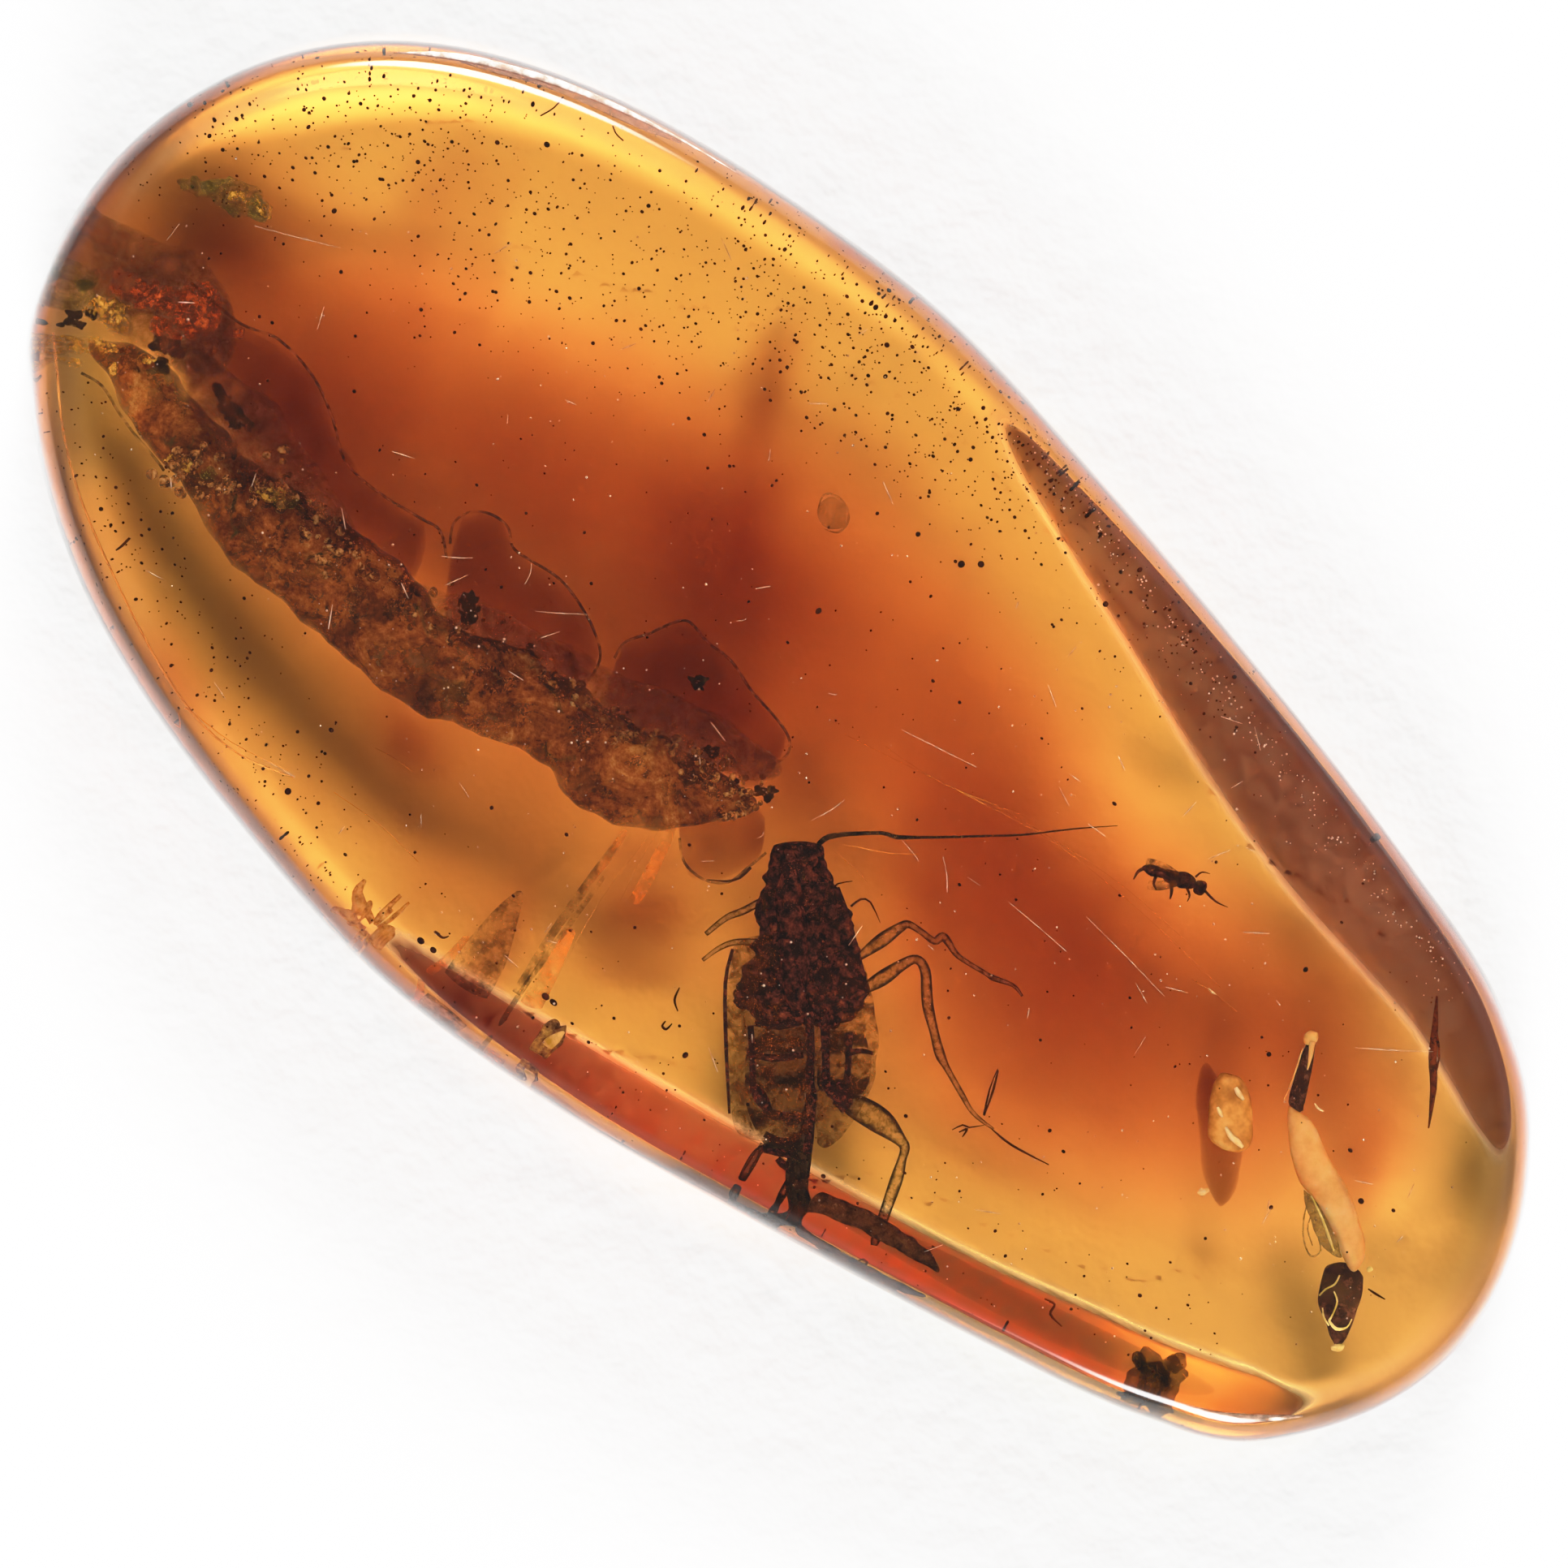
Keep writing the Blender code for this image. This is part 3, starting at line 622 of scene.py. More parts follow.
vein_finish, _ = shell_finish("dark_vein", body_colours, ((0.3, 1.0), (0.75, 0.75)), 0.08)
veins = (
    ((903, 1168, 2.50, 0.025), (894, 1210, 2.52, 0.03), (895, 1290, 2.52, 0.03), (899, 1370, 2.50, 0.02)),
    ((925, 1262, 2.50, 0.05), (927, 1300, 2.50, 0.05), (928, 1345, 2.50, 0.05)),
    ((928, 1335, 2.50, 0.06), (937, 1350, 2.50, 0.11), (948, 1368, 2.50, 0.06)),
    ((996, 1245, 2.50, 0.07), (999, 1290, 2.50, 0.06), (997, 1325, 2.50, 0.06), (1003, 1345, 2.50, 0.05)),
    ((1015, 1245, 2.50, 0.08), (1017, 1290, 2.50, 0.065), (1018, 1335, 2.50, 0.06), (1026, 1345, 2.50, 0.07)),
    ((1046, 1270, 2.46, 0.06), (1045, 1300, 2.46, 0.05), (1043, 1335, 2.46, 0.05)),
    ((1040, 1297, 2.46, 0.05), (1060, 1293, 2.46, 0.04), (1075, 1296, 2.46, 0.03)),
    ((930, 1258, 2.45, 0.06), (960, 1262, 2.45, 0.07), (990, 1256, 2.45, 0.07), (1030, 1262, 2.45, 0.05)),
    ((925, 1297, 2.45, 0.05), (955, 1302, 2.45, 0.06), (990, 1298, 2.45, 0.05)),
    ((952, 1368, 2.42, 0.04), (970, 1372, 2.42, 0.05), (990, 1372, 2.42, 0.05)),
    ((1020, 1340, 2.40, 0.10), (1035, 1345, 2.40, 0.16), (1042, 1358, 2.40, 0.10), (1034, 1366, 2.40, 0.05)),
    ((1000, 1345, 2.34, 0.09), (996, 1380, 2.34, 0.10), (991, 1410, 2.34, 0.13), (986, 1430, 2.34, 0.10)),
    ((942, 1395, 2.34, 0.05), (965, 1405, 2.34, 0.06), (985, 1400, 2.34, 0.06)),
    ((938, 1413, 2.34, 0.05), (960, 1418, 2.34, 0.06), (985, 1421, 2.34, 0.07)),
    ((958, 1425, 2.34, 0.05), (968, 1434, 2.34, 0.07), (980, 1430, 2.34, 0.05)),
)
make_piece("insect_veins", joined([rod(inside(route)) for route in veins]), vein_finish, "insect")

# Legs: hollow tubes, dark where the wall is seen edge on.
leg_finish, shader = new_finish("leg_shell")
mottle = grain(leg_finish, 0.10, detail=8, roughness=0.7)
leg_colours = ((0.35, (0.006, 0.004, 0.003)), (0.55, (0.03, 0.014, 0.006)), (0.7, (0.09, 0.035, 0.01)))
feed(leg_finish, shader.inputs["Base Color"], ramp(leg_finish, mottle, *leg_colours))
soft_edge(leg_finish, shader, mottle, (0.24, 0.95), (0.38, 0.45), (0.5, 0.18))
shader.inputs["Roughness"].default_value = 0.4
legs = (
    ((1058, 1178, 2.30, 0.06), (1085, 1158, 2.36, 0.11), (1108, 1142, 2.38, 0.08), (1119, 1138, 2.38, 0.06),
     (1135, 1147, 2.35, 0.05), (1151, 1158, 2.32, 0.06), (1160, 1153, 2.32, 0.07), (1168, 1162, 2.30, 0.06),
     (1180, 1178, 2.30, 0.045), (1213, 1198, 2.30, 0.035), (1223, 1204, 2.30, 0.045), (1247, 1213, 2.30, 0.03),
     (1258, 1226, 2.30, 0.02)),
    ((1056, 1222, 2.26, 0.06), (1085, 1205, 2.32, 0.12), (1110, 1188, 2.36, 0.09), (1128, 1181, 2.36, 0.07),
     (1139, 1196, 2.34, 0.08), (1142, 1235, 2.30, 0.09), (1150, 1270, 2.30, 0.07), (1157, 1297, 2.30, 0.08),
     (1166, 1315, 2.30, 0.05), (1183, 1345, 2.30, 0.045), (1196, 1367, 2.30, 0.035), (1210, 1380, 2.30, 0.03),
     (1223, 1389, 2.30, 0.02)),
    ((1028, 1352, 2.30, 0.09), (1055, 1362, 2.34, 0.19), (1085, 1380, 2.34, 0.20), (1108, 1402, 2.34, 0.10),
     (1114, 1412, 2.34, 0.08), (1111, 1425, 2.32, 0.07), (1104, 1450, 2.32, 0.10), (1092, 1485, 2.30, 0.09),
     (1080, 1520, 2.30, 0.08), (1076, 1532, 2.30, 0.05)),
    ((938, 1110, 2.30, 0.06), (915, 1122, 2.32, 0.06), (895, 1130, 2.30, 0.05), (870, 1150, 2.28, 0.04)),
    ((932, 1160, 2.26, 0.06), (905, 1160, 2.28, 0.05), (885, 1168, 2.28, 0.04), (866, 1182, 2.28, 0.03)),
    ((985, 1415, 2.28, 0.07), (960, 1412, 2.28, 0.06), (938, 1414, 2.28, 0.06), (926, 1430, 2.28, 0.08),
     (912, 1455, 2.30, 0.06), (900, 1478, 2.30, 0.035)),
    ((980, 1440, 2.28, 0.06), (968, 1462, 2.28, 0.07), (955, 1485, 2.30, 0.06), (944, 1502, 2.30, 0.03)),
)
make_piece("insect_legs", joined([rod(inside(route), 12, 4) for route in legs]), leg_finish, "insect")

# The long feeler, mouth palps, tail and the stiff hairs.
tail_colours = ((0.35, (0.01, 0.008, 0.006)), (0.5, (0.035, 0.024, 0.016)), (0.7, (0.07, 0.05, 0.035)))
tail_finish, _ = shell_finish("tail_shell", tail_colours, ((0.42, 1.0), (0.62, 0.6)), 0.12)
parts = [rod(inside(route)) for route in (
    ((990, 1395, 2.30, 0.16), (984, 1430, 2.30, 0.19), (982, 1465, 2.32, 0.17), (988, 1500, 2.34, 0.14)),
    ((1008, 1040, 2.34, 0.04), (1020, 1031, 2.36, 0.045), (1045, 1027, 2.36, 0.035), (1085, 1026, 2.36, 0.03),
     (1105, 1031, 2.36, 0.035), (1140, 1031, 2.34, 0.022), (1200, 1030, 2.33, 0.018), (1260, 1028, 2.32, 0.016),
     (1320, 1021, 2.32, 0.012), (1375, 1017, 2.32, 0.006)),
)]
make_piece("insect_feeler_and_tail", joined(parts), tail_finish, "insect")
bristles = (
    ((1024, 1096, 2.4, 0.018), (1032, 1088, 2.42, 0.016), (1050, 1085, 2.42, 0.008)),
    ((1048, 1116, 2.4, 0.02), (1060, 1107, 2.42, 0.018), (1072, 1111, 2.42, 0.016), (1084, 1136, 2.4, 0.006)),
    ((925, 1068, 2.35, 0.03), (912, 1081, 2.35, 0.022), (895, 1085, 2.35, 0.018), (872, 1083, 2.35, 0.008)),
    ((1211, 1372, 2.3, 0.02), (1218, 1340, 2.32, 0.015), (1228, 1315, 2.34, 0.006)),
    ((1172, 1390, 2.3, 0.008), (1185, 1384, 2.32, 0.016), (1193, 1387, 2.32, 0.014), (1212, 1384, 2.3, 0.006)),
)
make_piece("insect_bristles", joined([rod(inside(route), 6, 2) for route in bristles]), vein_finish, "insect")

# ---------------------------------------------------------------- the small fly
# A fly a millimetre long in the clearer resin by the bevel: round chest, tapering abdomen,
# two wings folded back, thread-like legs and one feeler.

fly_height = 2.55
parts = [
    lump(spot(1457, 1084, fly_height), (0.18, 0.13, 0.14), -22, bumps=0.03, size=0.15),
    lump(spot(1476, 1093, fly_height), (0.10, 0.12, 0.11), -22, bumps=0.02, size=0.1),
    lump(spot(1441, 1079, fly_height), (0.16, 0.11, 0.11), -20, bumps=0.03, size=0.12),
    lump(spot(1422, 1073, fly_height), (0.22, 0.085, 0.09), -18, bumps=0.03, size=0.12),
    rod(inside(((1408, 1069, 2.55, 0.03), (1400, 1073, 2.55, 0.025), (1394, 1083, 2.55, 0.01)))),
]
for route in (
    ((1422, 1078, 2.5, 0.03), (1419, 1088, 2.5, 0.025), (1423, 1096, 2.5, 0.01)),
    ((1440, 1084, 2.5, 0.03), (1441, 1097, 2.5, 0.03), (1439, 1107, 2.5, 0.012)),
    ((1459, 1092, 2.5, 0.025), (1463, 1102, 2.5, 0.02), (1460, 1110, 2.5, 0.008)),
    ((1482, 1097, 2.55, 0.025), (1495, 1110, 2.55, 0.018), (1510, 1117, 2.55, 0.006)),
    ((1470, 1080, 2.55, 0.02), (1478, 1074, 2.55, 0.015), (1488, 1076, 2.55, 0.006)),
):
    parts.append(rod(inside(route), 6))
make_piece("fly", joined(parts), trunk_finish, "small_fly", "small_fly")
fly_wings = (
    ((1450, 1074, 1452, 1080, 2.66), (1432, 1062, 1430, 1074, 2.66), (1410, 1056, 1408, 1070, 2.64)),
    ((1450, 1084, 1452, 1090, 2.64), (1432, 1084, 1430, 1096, 2.64), (1412, 1084, 1410, 1096, 2.62)),
)
parts = [slab(rows, 0.02, segments=(12, 16)) for rows in fly_wings]
make_piece("fly_wings", joined(parts), wing_finish, "small_fly")

# ---------------------------------------------------------------- the strip of bark
# A strip of rotted bark, stained rust and gold, that came in with the flow. Its upper side
# carries thin dark lobes of old resin, and loose grains lie along its middle.

bark_finish, shader = new_finish("rotted_bark")
coarse = grain(bark_finish, 0.85, detail=10, roughness=0.68, twist=0.8)
fine = grain(bark_finish, 0.10, detail=8, roughness=0.7)
blend = add(bark_finish, "Mix", {0: 0.33, 2: coarse, 3: fine}, data_type="FLOAT").outputs[0]
bark_colours = (
    (0.36, (0.035, 0.014, 0.009)), (0.45, (0.11, 0.030, 0.013)), (0.52, (0.25, 0.072, 0.024)),
    (0.58, (0.38, 0.14, 0.045)), (0.64, (0.58, 0.29, 0.11)), (0.72, (0.82, 0.55, 0.28)),
)
tint = ramp(bark_finish, blend, *bark_colours)
mould = ramp(bark_finish, grain(bark_finish, 0.7, detail=6, twist=1.0), (0.60, 0.0), (0.68, 1.0))
green = add(bark_finish, "Mix", {0: mould, 6: tint, 7: (0.05, 0.045, 0.018)}, data_type="RGBA")
feed(bark_finish, shader.inputs["Base Color"], green.outputs[2])
soft_edge(bark_finish, shader, grain(bark_finish, 0.5, detail=8), (0.08, 0.0), (0.30, 0.50), (0.54, 0.95))
shader.inputs["Roughness"].default_value = 0.85
raise_relief(bark_finish, shader, blend, 0.12, 1.0)
bark_edges = (
    (104, 452, 120, 400, 2.05), (140, 492, 190, 425, 2.2), (180, 548, 240, 488, 2.35),
    (232, 605, 290, 545, 2.5), (285, 690, 372, 612, 2.7), (345, 735, 440, 655, 2.8),
    (420, 805, 500, 700, 2.85), (490, 862, 560, 768, 2.9), (585, 903, 640, 800, 2.9),
    (665, 935, 700, 838, 2.9), (705, 985, 762, 880, 2.9), (775, 1020, 835, 918, 2.9),
    (850, 1028, 890, 935, 2.88), (905, 1030, 955, 965, 2.85),
)
strip_rows = [row for row in bark_edges]
bm = slab(strip_rows, 0.48, blunt=1.4, bumps=0.13, size=0.4, segments=(48, 150))
make_piece("bark_strip", bm, bark_finish, "bark_strip", "bark_strip")

# The dark lobes, each with a dark outline.
lobe_finish = flow_finish("dark_lobe", (0.44, 0.16, 0.22), 5200.0)
lobes = (
    ((230, 500, 232, 352, 2.75), (262, 556, 300, 400, 2.8), (300, 615, 385, 462, 2.85),
     (370, 670, 420, 545, 2.9), (425, 708, 470, 610, 2.9), (500, 750, 540, 652, 2.9)),
    ((545, 790, 562, 645, 2.95), (575, 810, 610, 633, 2.95), (605, 828, 640, 680, 2.95),
     (650, 850, 690, 715, 2.95), (685, 872, 728, 762, 2.95), (705, 880, 742, 815, 2.95)),
    ((735, 900, 762, 800, 2.95), (780, 925, 800, 780, 2.95), (820, 945, 850, 766, 2.95),
     (862, 960, 905, 820, 2.95), (910, 972, 945, 870, 2.95), (945, 965, 974, 912, 2.95)),
    ((835, 1000, 838, 1035, 2.9), (860, 985, 850, 1078, 2.9), (890, 985, 885, 1086, 2.9),
     (925, 990, 918, 1068, 2.9), (945, 1010, 940, 1050, 2.9)),
)
parts = [slab(rows, 0.26, bumps=0.06, size=0.4, segments=(20, 60)) for rows in lobes]
for number, part in enumerate(parts, start=1):
    make_piece(f"bark_lobe_{number}", part, lobe_finish, "bark_strip")
edge_colours = ((0.3, (0.010, 0.006, 0.008)), (0.6, (0.05, 0.018, 0.012)))
edge_finish, _ = shell_finish("lobe_edge", edge_colours, ((0.40, 0.05), (0.62, 0.60)), 0.12)
outlines = (
    ((240, 352), (300, 402), (345, 420), (388, 465), (414, 520), (428, 570), (468, 608), (520, 640), (545, 656), (553, 690)),
    ((557, 672), (562, 646), (582, 633), (608, 636), (628, 652), (634, 676), (652, 690), (690, 714), (716, 746), (735, 782), (741, 812), (728, 838)),
    ((758, 812), (772, 792), (800, 782), (832, 768), (851, 768), (872, 792), (902, 816), (926, 852), (960, 890), (973, 914), (968, 932), (948, 944)),
    ((838, 1032), (844, 1062), (868, 1083), (898, 1086), (922, 1068), (944, 1050)),
    ((104, 462), (130, 478), (150, 510), (172, 540), (196, 568), (206, 582)),
)
parts = []
for outline in outlines:
    route = [(*place, 3.0 if outline[0][0] > 200 else 2.45, 0.026) for place in outline]
    parts.append(rod(inside(route), 6, 4))
make_piece("bark_lobe_edges", joined(parts), edge_finish, "bark_strip")

# Grains along the middle, and the black hole of an old gallery.
random.seed(7)
ridge = ((205, 575), (265, 590), (340, 605), (400, 665), (440, 705), (500, 745), (560, 790), (625, 835),
         (690, 868), (760, 905), (815, 935), (865, 950), (905, 978), (940, 985))
parts = []
for _ in range(340):
    along = random.random() * (len(ridge) - 1.001)
    i = int(along)
    across = ridge[i][0] + (ridge[i + 1][0] - ridge[i][0]) * (along - i) + random.gauss(0, 15)
    down = ridge[i][1] + (ridge[i + 1][1] - ridge[i][1]) * (along - i) + random.gauss(0, 17)
    size = random.uniform(0.03, 0.10)
    bm = bmesh.new()
    bmesh.ops.create_icosphere(bm, subdivisions=1, radius=size)
    squash = Matrix.Diagonal((random.uniform(0.7, 1.6), 1.0, 0.5, 1.0))
    turn = Matrix.Rotation(random.uniform(0, pi), 4, "Z")
    place = inward(*spot(across, down, 2.98 + random.uniform(-0.08, 0.1)))
    bmesh.ops.transform(bm, matrix=Matrix.Translation(place) @ turn @ squash, verts=bm.verts)
    parts.append(bm)
grain_finish, shader = new_finish("bark_grains")
tone = grain(grain_finish, 0.12, detail=3)
feed(grain_finish, shader.inputs["Base Color"], ramp(grain_finish, tone, (0.34, (0.04, 0.03, 0.015)), (0.46, (0.22, 0.07, 0.025)), (0.58, (0.50, 0.25, 0.10)), (0.70, (0.80, 0.55, 0.30))))
feed(grain_finish, shader.inputs["Alpha"], ramp(grain_finish, tone, (0.36, 0.35), (0.6, 0.75)))
shader.inputs["Roughness"].default_value = 0.7
raise_relief(grain_finish, shader, tone, 0.03, 0.5)
make_piece("bark_grains", joined(parts), grain_finish, "bark_strip")
hole_colours = ((0.35, (0.006, 0.004, 0.003)), (0.65, (0.03, 0.016, 0.010)))
hole_finish, shader = shell_finish("gallery_hole", hole_colours, ((0.3, 1.0), (0.8, 0.9)), 0.12, 0.8)
soft_edge(hole_finish, shader, grain(hole_finish, 0.12), (0.28, 0.0), (0.42, 0.9))
parts = [
    lump(spot(580, 751, 3.0), (0.17, 0.27, 0.12), 8, bumps=0.12, size=0.09),
    lump(spot(655, 797, 3.0), (0.07, 0.06, 0.05), bumps=0.03, size=0.1),
    lump(spot(622, 768, 3.0), (0.06, 0.05, 0.05), bumps=0.03, size=0.1),
    lump(spot(862, 842, 3.0), (0.10, 0.14, 0.05), 30, bumps=0.16, size=0.08),
    lump(spot(876, 925, 3.0), (0.08, 0.12, 0.05), 70, bumps=0.14, size=0.08),
    lump(spot(945, 975, 3.0), (0.16, 0.10, 0.05), 0, bumps=0.16, size=0.08),
    lump(spot(212, 430, 2.9), (0.20, 0.16, 0.08), -30, bumps=0.24, size=0.10),
    lump(spot(206, 452, 2.9), (0.12, 0.12, 0.07), 0, bumps=0.16, size=0.10),
    lump(spot(285, 498, 2.9), (0.20, 0.10, 0.06), -50, bumps=0.26, size=0.10),
    lump(spot(300, 522, 2.9), (0.22, 0.12, 0.06), -40, bumps=0.26, size=0.10),
    lump(spot(290, 558, 2.9), (0.10, 0.10, 0.05), 0, bumps=0.12, size=0.10),
    lump(spot(438, 706, 3.0), (0.08, 0.12, 0.05), 0, bumps=0.14, size=0.09),
    lump(spot(510, 731, 3.0), (0.10, 0.09, 0.05), 0, bumps=0.14, size=0.09),
]
make_piece("bark_holes", joined(parts), hole_finish, "bark_strip")

# The strip frays upwards into a cloud of dark crumbled bark.
cloud_finish, shader = new_finish("crumbled_bark")
tone = grain(cloud_finish, 0.45, detail=7, roughness=0.6, twist=0.5)
feed(cloud_finish, shader.inputs["Base Color"], ramp(cloud_finish, tone, (0.36, (0.014, 0.009, 0.007)), (0.50, (0.06, 0.018, 0.012)), (0.60, (0.15, 0.040, 0.020)), (0.72, (0.30, 0.09, 0.04))))
soft_edge(cloud_finish, shader, tone, (0.24, 0.0), (0.46, 0.32), (0.66, 0.66))
shader.inputs["Roughness"].default_value = 0.9
clouds = (
    ((88, 340, 118, 232, 2.6), (120, 400, 190, 285, 2.75), (190, 450, 260, 320, 2.85), (262, 500, 320, 392, 2.9)),
    ((196, 440, 226, 404, 2.9), (262, 560, 312, 470, 2.95), (330, 622, 392, 566, 3.0), (430, 706, 470, 660, 3.0)),
    ((470, 742, 500, 690, 3.0), (600, 822, 640, 760, 3.0), (730, 892, 770, 830, 3.0), (850, 950, 890, 880, 3.0), (940, 985, 985, 925, 3.0)),
)
parts = [slab(rows, 0.6, blunt=1.0, bumps=0.16, size=0.7, seed=number, segments=(32, 60)) for number, rows in enumerate(clouds)]
make_piece("bark_cloud", joined(parts), cloud_finish, "bark_strip")

# The strip's broken end, under the rounding of the rim: gold and green scraps, black
# crumbs, and a lump of red rot that glows where light comes up through it.
scrap_finish, shader = new_finish("gold_scraps")
tone = grain(scrap_finish, 0.18, detail=8, roughness=0.75)
feed(scrap_finish, shader.inputs["Base Color"], ramp(scrap_finish, tone, (0.38, (0.10, 0.035, 0.012)), (0.48, (0.34, 0.14, 0.03)), (0.57, (0.74, 0.46, 0.09)), (0.68, (1.0, 0.80, 0.28))))
soft_edge(scrap_finish, shader, tone, (0.34, 0.0), (0.48, 0.30), (0.60, 0.85))
shader.inputs["Roughness"].default_value = 0.45
raise_relief(scrap_finish, shader, tone, 0.06, 0.8)
parts = [
    lump(spot(140, 392, 3.0), (0.40, 0.28, 0.10), -25, bumps=0.16, size=0.18),
    lump(spot(150, 380, 3.0), (0.22, 0.14, 0.10), -10, bumps=0.10, size=0.15, seed=2),
    lump(spot(86, 428, 2.7), (0.34, 0.16, 0.08), -10, bumps=0.12, size=0.15, seed=3),
    lump(spot(82, 442, 2.6), (0.24, 0.12, 0.08), -30, bumps=0.10, size=0.15, seed=4),
    lump(spot(118, 430, 2.7), (0.46, 0.14, 0.08), -5, bumps=0.12, size=0.15, seed=5),
    lump(spot(182, 446, 2.8), (0.22, 0.10, 0.06), 0, bumps=0.08, size=0.12, seed=6),
    lump(spot(143, 458, 2.7), (0.10, 0.12, 0.06), 0, bumps=0.06, size=0.12, seed=7),
    lump(spot(228, 575, 2.9), (0.30, 0.15, 0.06), -20, bumps=0.08, size=0.12, seed=8),
    lump(spot(345, 612, 3.0), (0.36, 0.14, 0.05), -10, bumps=0.08, size=0.12, seed=9),
    lump(spot(322, 258, 2.9), (0.28, 0.12, 0.05), -35, bumps=0.12, size=0.12, seed=10),
    lump(spot(298, 248, 2.9), (0.22, 0.10, 0.05), -20, bumps=0.10, size=0.12, seed=11),
]
make_piece("bark_gold_scraps", joined(parts), scrap_finish, "bark_strip")
rot_finish, shader = new_finish("red_rot")
tone = grain(rot_finish, 0.22, detail=9, roughness=0.72)
feed(rot_finish, shader.inputs["Base Color"], ramp(rot_finish, tone, (0.36, (0.08, 0.014, 0.007)), (0.48, (0.24, 0.040, 0.012)), (0.58, (0.52, 0.085, 0.022)), (0.70, (0.95, 0.24, 0.07))))
soft_edge(rot_finish, shader, tone, (0.24, 0.0), (0.46, 0.40), (0.62, 0.85))
shader.inputs["Roughness"].default_value = 0.6
raise_relief(rot_finish, shader, tone, 0.05, 0.8)
parts = [
    lump(spot(250, 384, 3.3), (0.36, 0.44, 0.16), 10, bumps=0.10, size=0.25),
    lump(spot(200, 372, 3.2), (0.50, 0.30, 0.10), -15, bumps=0.18, size=0.22, seed=2),
    lump(spot(165, 355, 2.9), (0.30, 0.22, 0.08), -15, bumps=0.14, size=0.2, seed=3),
    lump(spot(218, 408, 3.2), (0.40, 0.20, 0.08), -15, bumps=0.12, size=0.2, seed=4),
    lump(spot(298, 414, 2.95), (0.10, 0.10, 0.05), 0, bumps=0.04, size=0.1, seed=5),
    lump(spot(266, 437, 2.95), (0.08, 0.08, 0.05), 0, bumps=0.04, size=0.1, seed=6),
]
make_piece("bark_red_rot", joined(parts), rot_finish, "bark_strip")
mould_colours = ((0.35, (0.02, 0.022, 0.008)), (0.55, (0.10, 0.11, 0.03)), (0.7, (0.35, 0.30, 0.08)))
mould_finish, shader = shell_finish("green_mould", mould_colours, ((0.4, 0.4), (0.55, 0.8)), 0.14, 0.8)
soft_edge(mould_finish, shader, grain(mould_finish, 0.25, detail=8), (0.34, 0.0), (0.60, 0.6))
parts = [
    lump(spot(92, 366, 2.8), (0.36, 0.30, 0.10), -10, bumps=0.14, size=0.2),
    lump(spot(100, 345, 2.8), (0.34, 0.22, 0.10), 20, bumps=0.12, size=0.2, seed=3),
    lump(spot(355, 618, 3.0), (0.30, 0.16, 0.05), -20, bumps=0.08, size=0.12, seed=2),
    lump(spot(262, 586, 2.95), (0.16, 0.12, 0.05), -20, bumps=0.06, size=0.12, seed=4),
    lump(spot(300, 250, 2.85), (0.52, 0.28, 0.05), -30, bumps=0.20, size=0.2, seed=5),
    lump(spot(250, 235, 2.8), (0.40, 0.16, 0.05), -15, bumps=0.14, size=0.2, seed=6),
]
make_piece("bark_mould", joined(parts), mould_finish, "bark_strip")
parts = [
    lump(spot(96, 396, 3.05), (0.14, 0.13, 0.06), 0, bumps=0.08, size=0.1),
    lump(spot(104, 404, 3.05), (0.09, 0.07, 0.05), 0, bumps=0.05, size=0.08),
    lump(spot(80, 404, 3.0), (0.05, 0.05, 0.04), 0, bumps=0.02, size=0.08),
    lump(spot(118, 390, 3.05), (0.10, 0.09, 0.05), 0, bumps=0.05, size=0.08),
]
make_piece("bark_black_crumbs", joined(parts), hole_finish, "bark_strip")

# ---------------------------------------------------------------- the stem fragment
# A dry stem a centimetre from the thin end: a pale cap on a dark glassy neck, a pale body
# that the resin never wetted, and a hollow end whose dark wall has cracked.

pale_finish, shader = new_finish("pale_stem")
tone = grain(pale_finish, 0.5, detail=6, stretch=(1, 1, 1))
pale_colours = ((0.3, (0.80, 0.40, 0.15)), (0.5, (0.95, 0.58, 0.26)), (0.7, (1.0, 0.72, 0.40)))
feed(pale_finish, shader.inputs["Base Color"], ramp(pale_finish, tone, *pale_colours))
shader.inputs["Roughness"].default_value = 0.6
shader.inputs["Subsurface Weight"].default_value = 0.3
shader.inputs["Subsurface Scale"].default_value = 0.0005
raise_relief(pale_finish, shader, grain(pale_finish, 0.15, detail=6), 0.02, 0.5)
stem_body = (
    (1580, 1358, 1592, 1362, 2.74), (1583, 1385, 1612, 1380, 2.74), (1588, 1420, 1630, 1415, 2.73),
    (1598, 1452, 1648, 1448, 2.72), (1620, 1480, 1664, 1482, 2.70), (1638, 1512, 1675, 1512, 2.67),
    (1648, 1540, 1678, 1540, 2.63), (1654, 1562, 1673, 1566, 2.60),
)
parts = [
    slab(stem_body, 0.42, blunt=1.6, bumps=0.03, size=0.5, segments=(28, 60)),
    lump(spot(1611, 1277, 2.84), (0.13, 0.11, 0.09), 40, bumps=0.02, size=0.1),
    rod(inside(((1613, 1282, 2.9, 0.05), (1611, 1298, 2.92, 0.035), (1607, 1316, 2.92, 0.01)))),
    rod(inside(((1601, 1290, 2.86, 0.012), (1590, 1325, 2.86, 0.014), (1579, 1352, 2.84, 0.012)), ), 6),
]
make_piece("stem_body", joined(parts), pale_finish, "stem_fragment", "stem_fragment")
neck_colours = ((0.35, (0.012, 0.006, 0.008)), (0.5, (0.06, 0.025, 0.02)), (0.65, (0.16, 0.07, 0.06)))
neck_finish, shader = shell_finish("dark_stem", neck_colours, ((0.3, 1.0), (0.62, 0.75)), 0.2, 0.3)
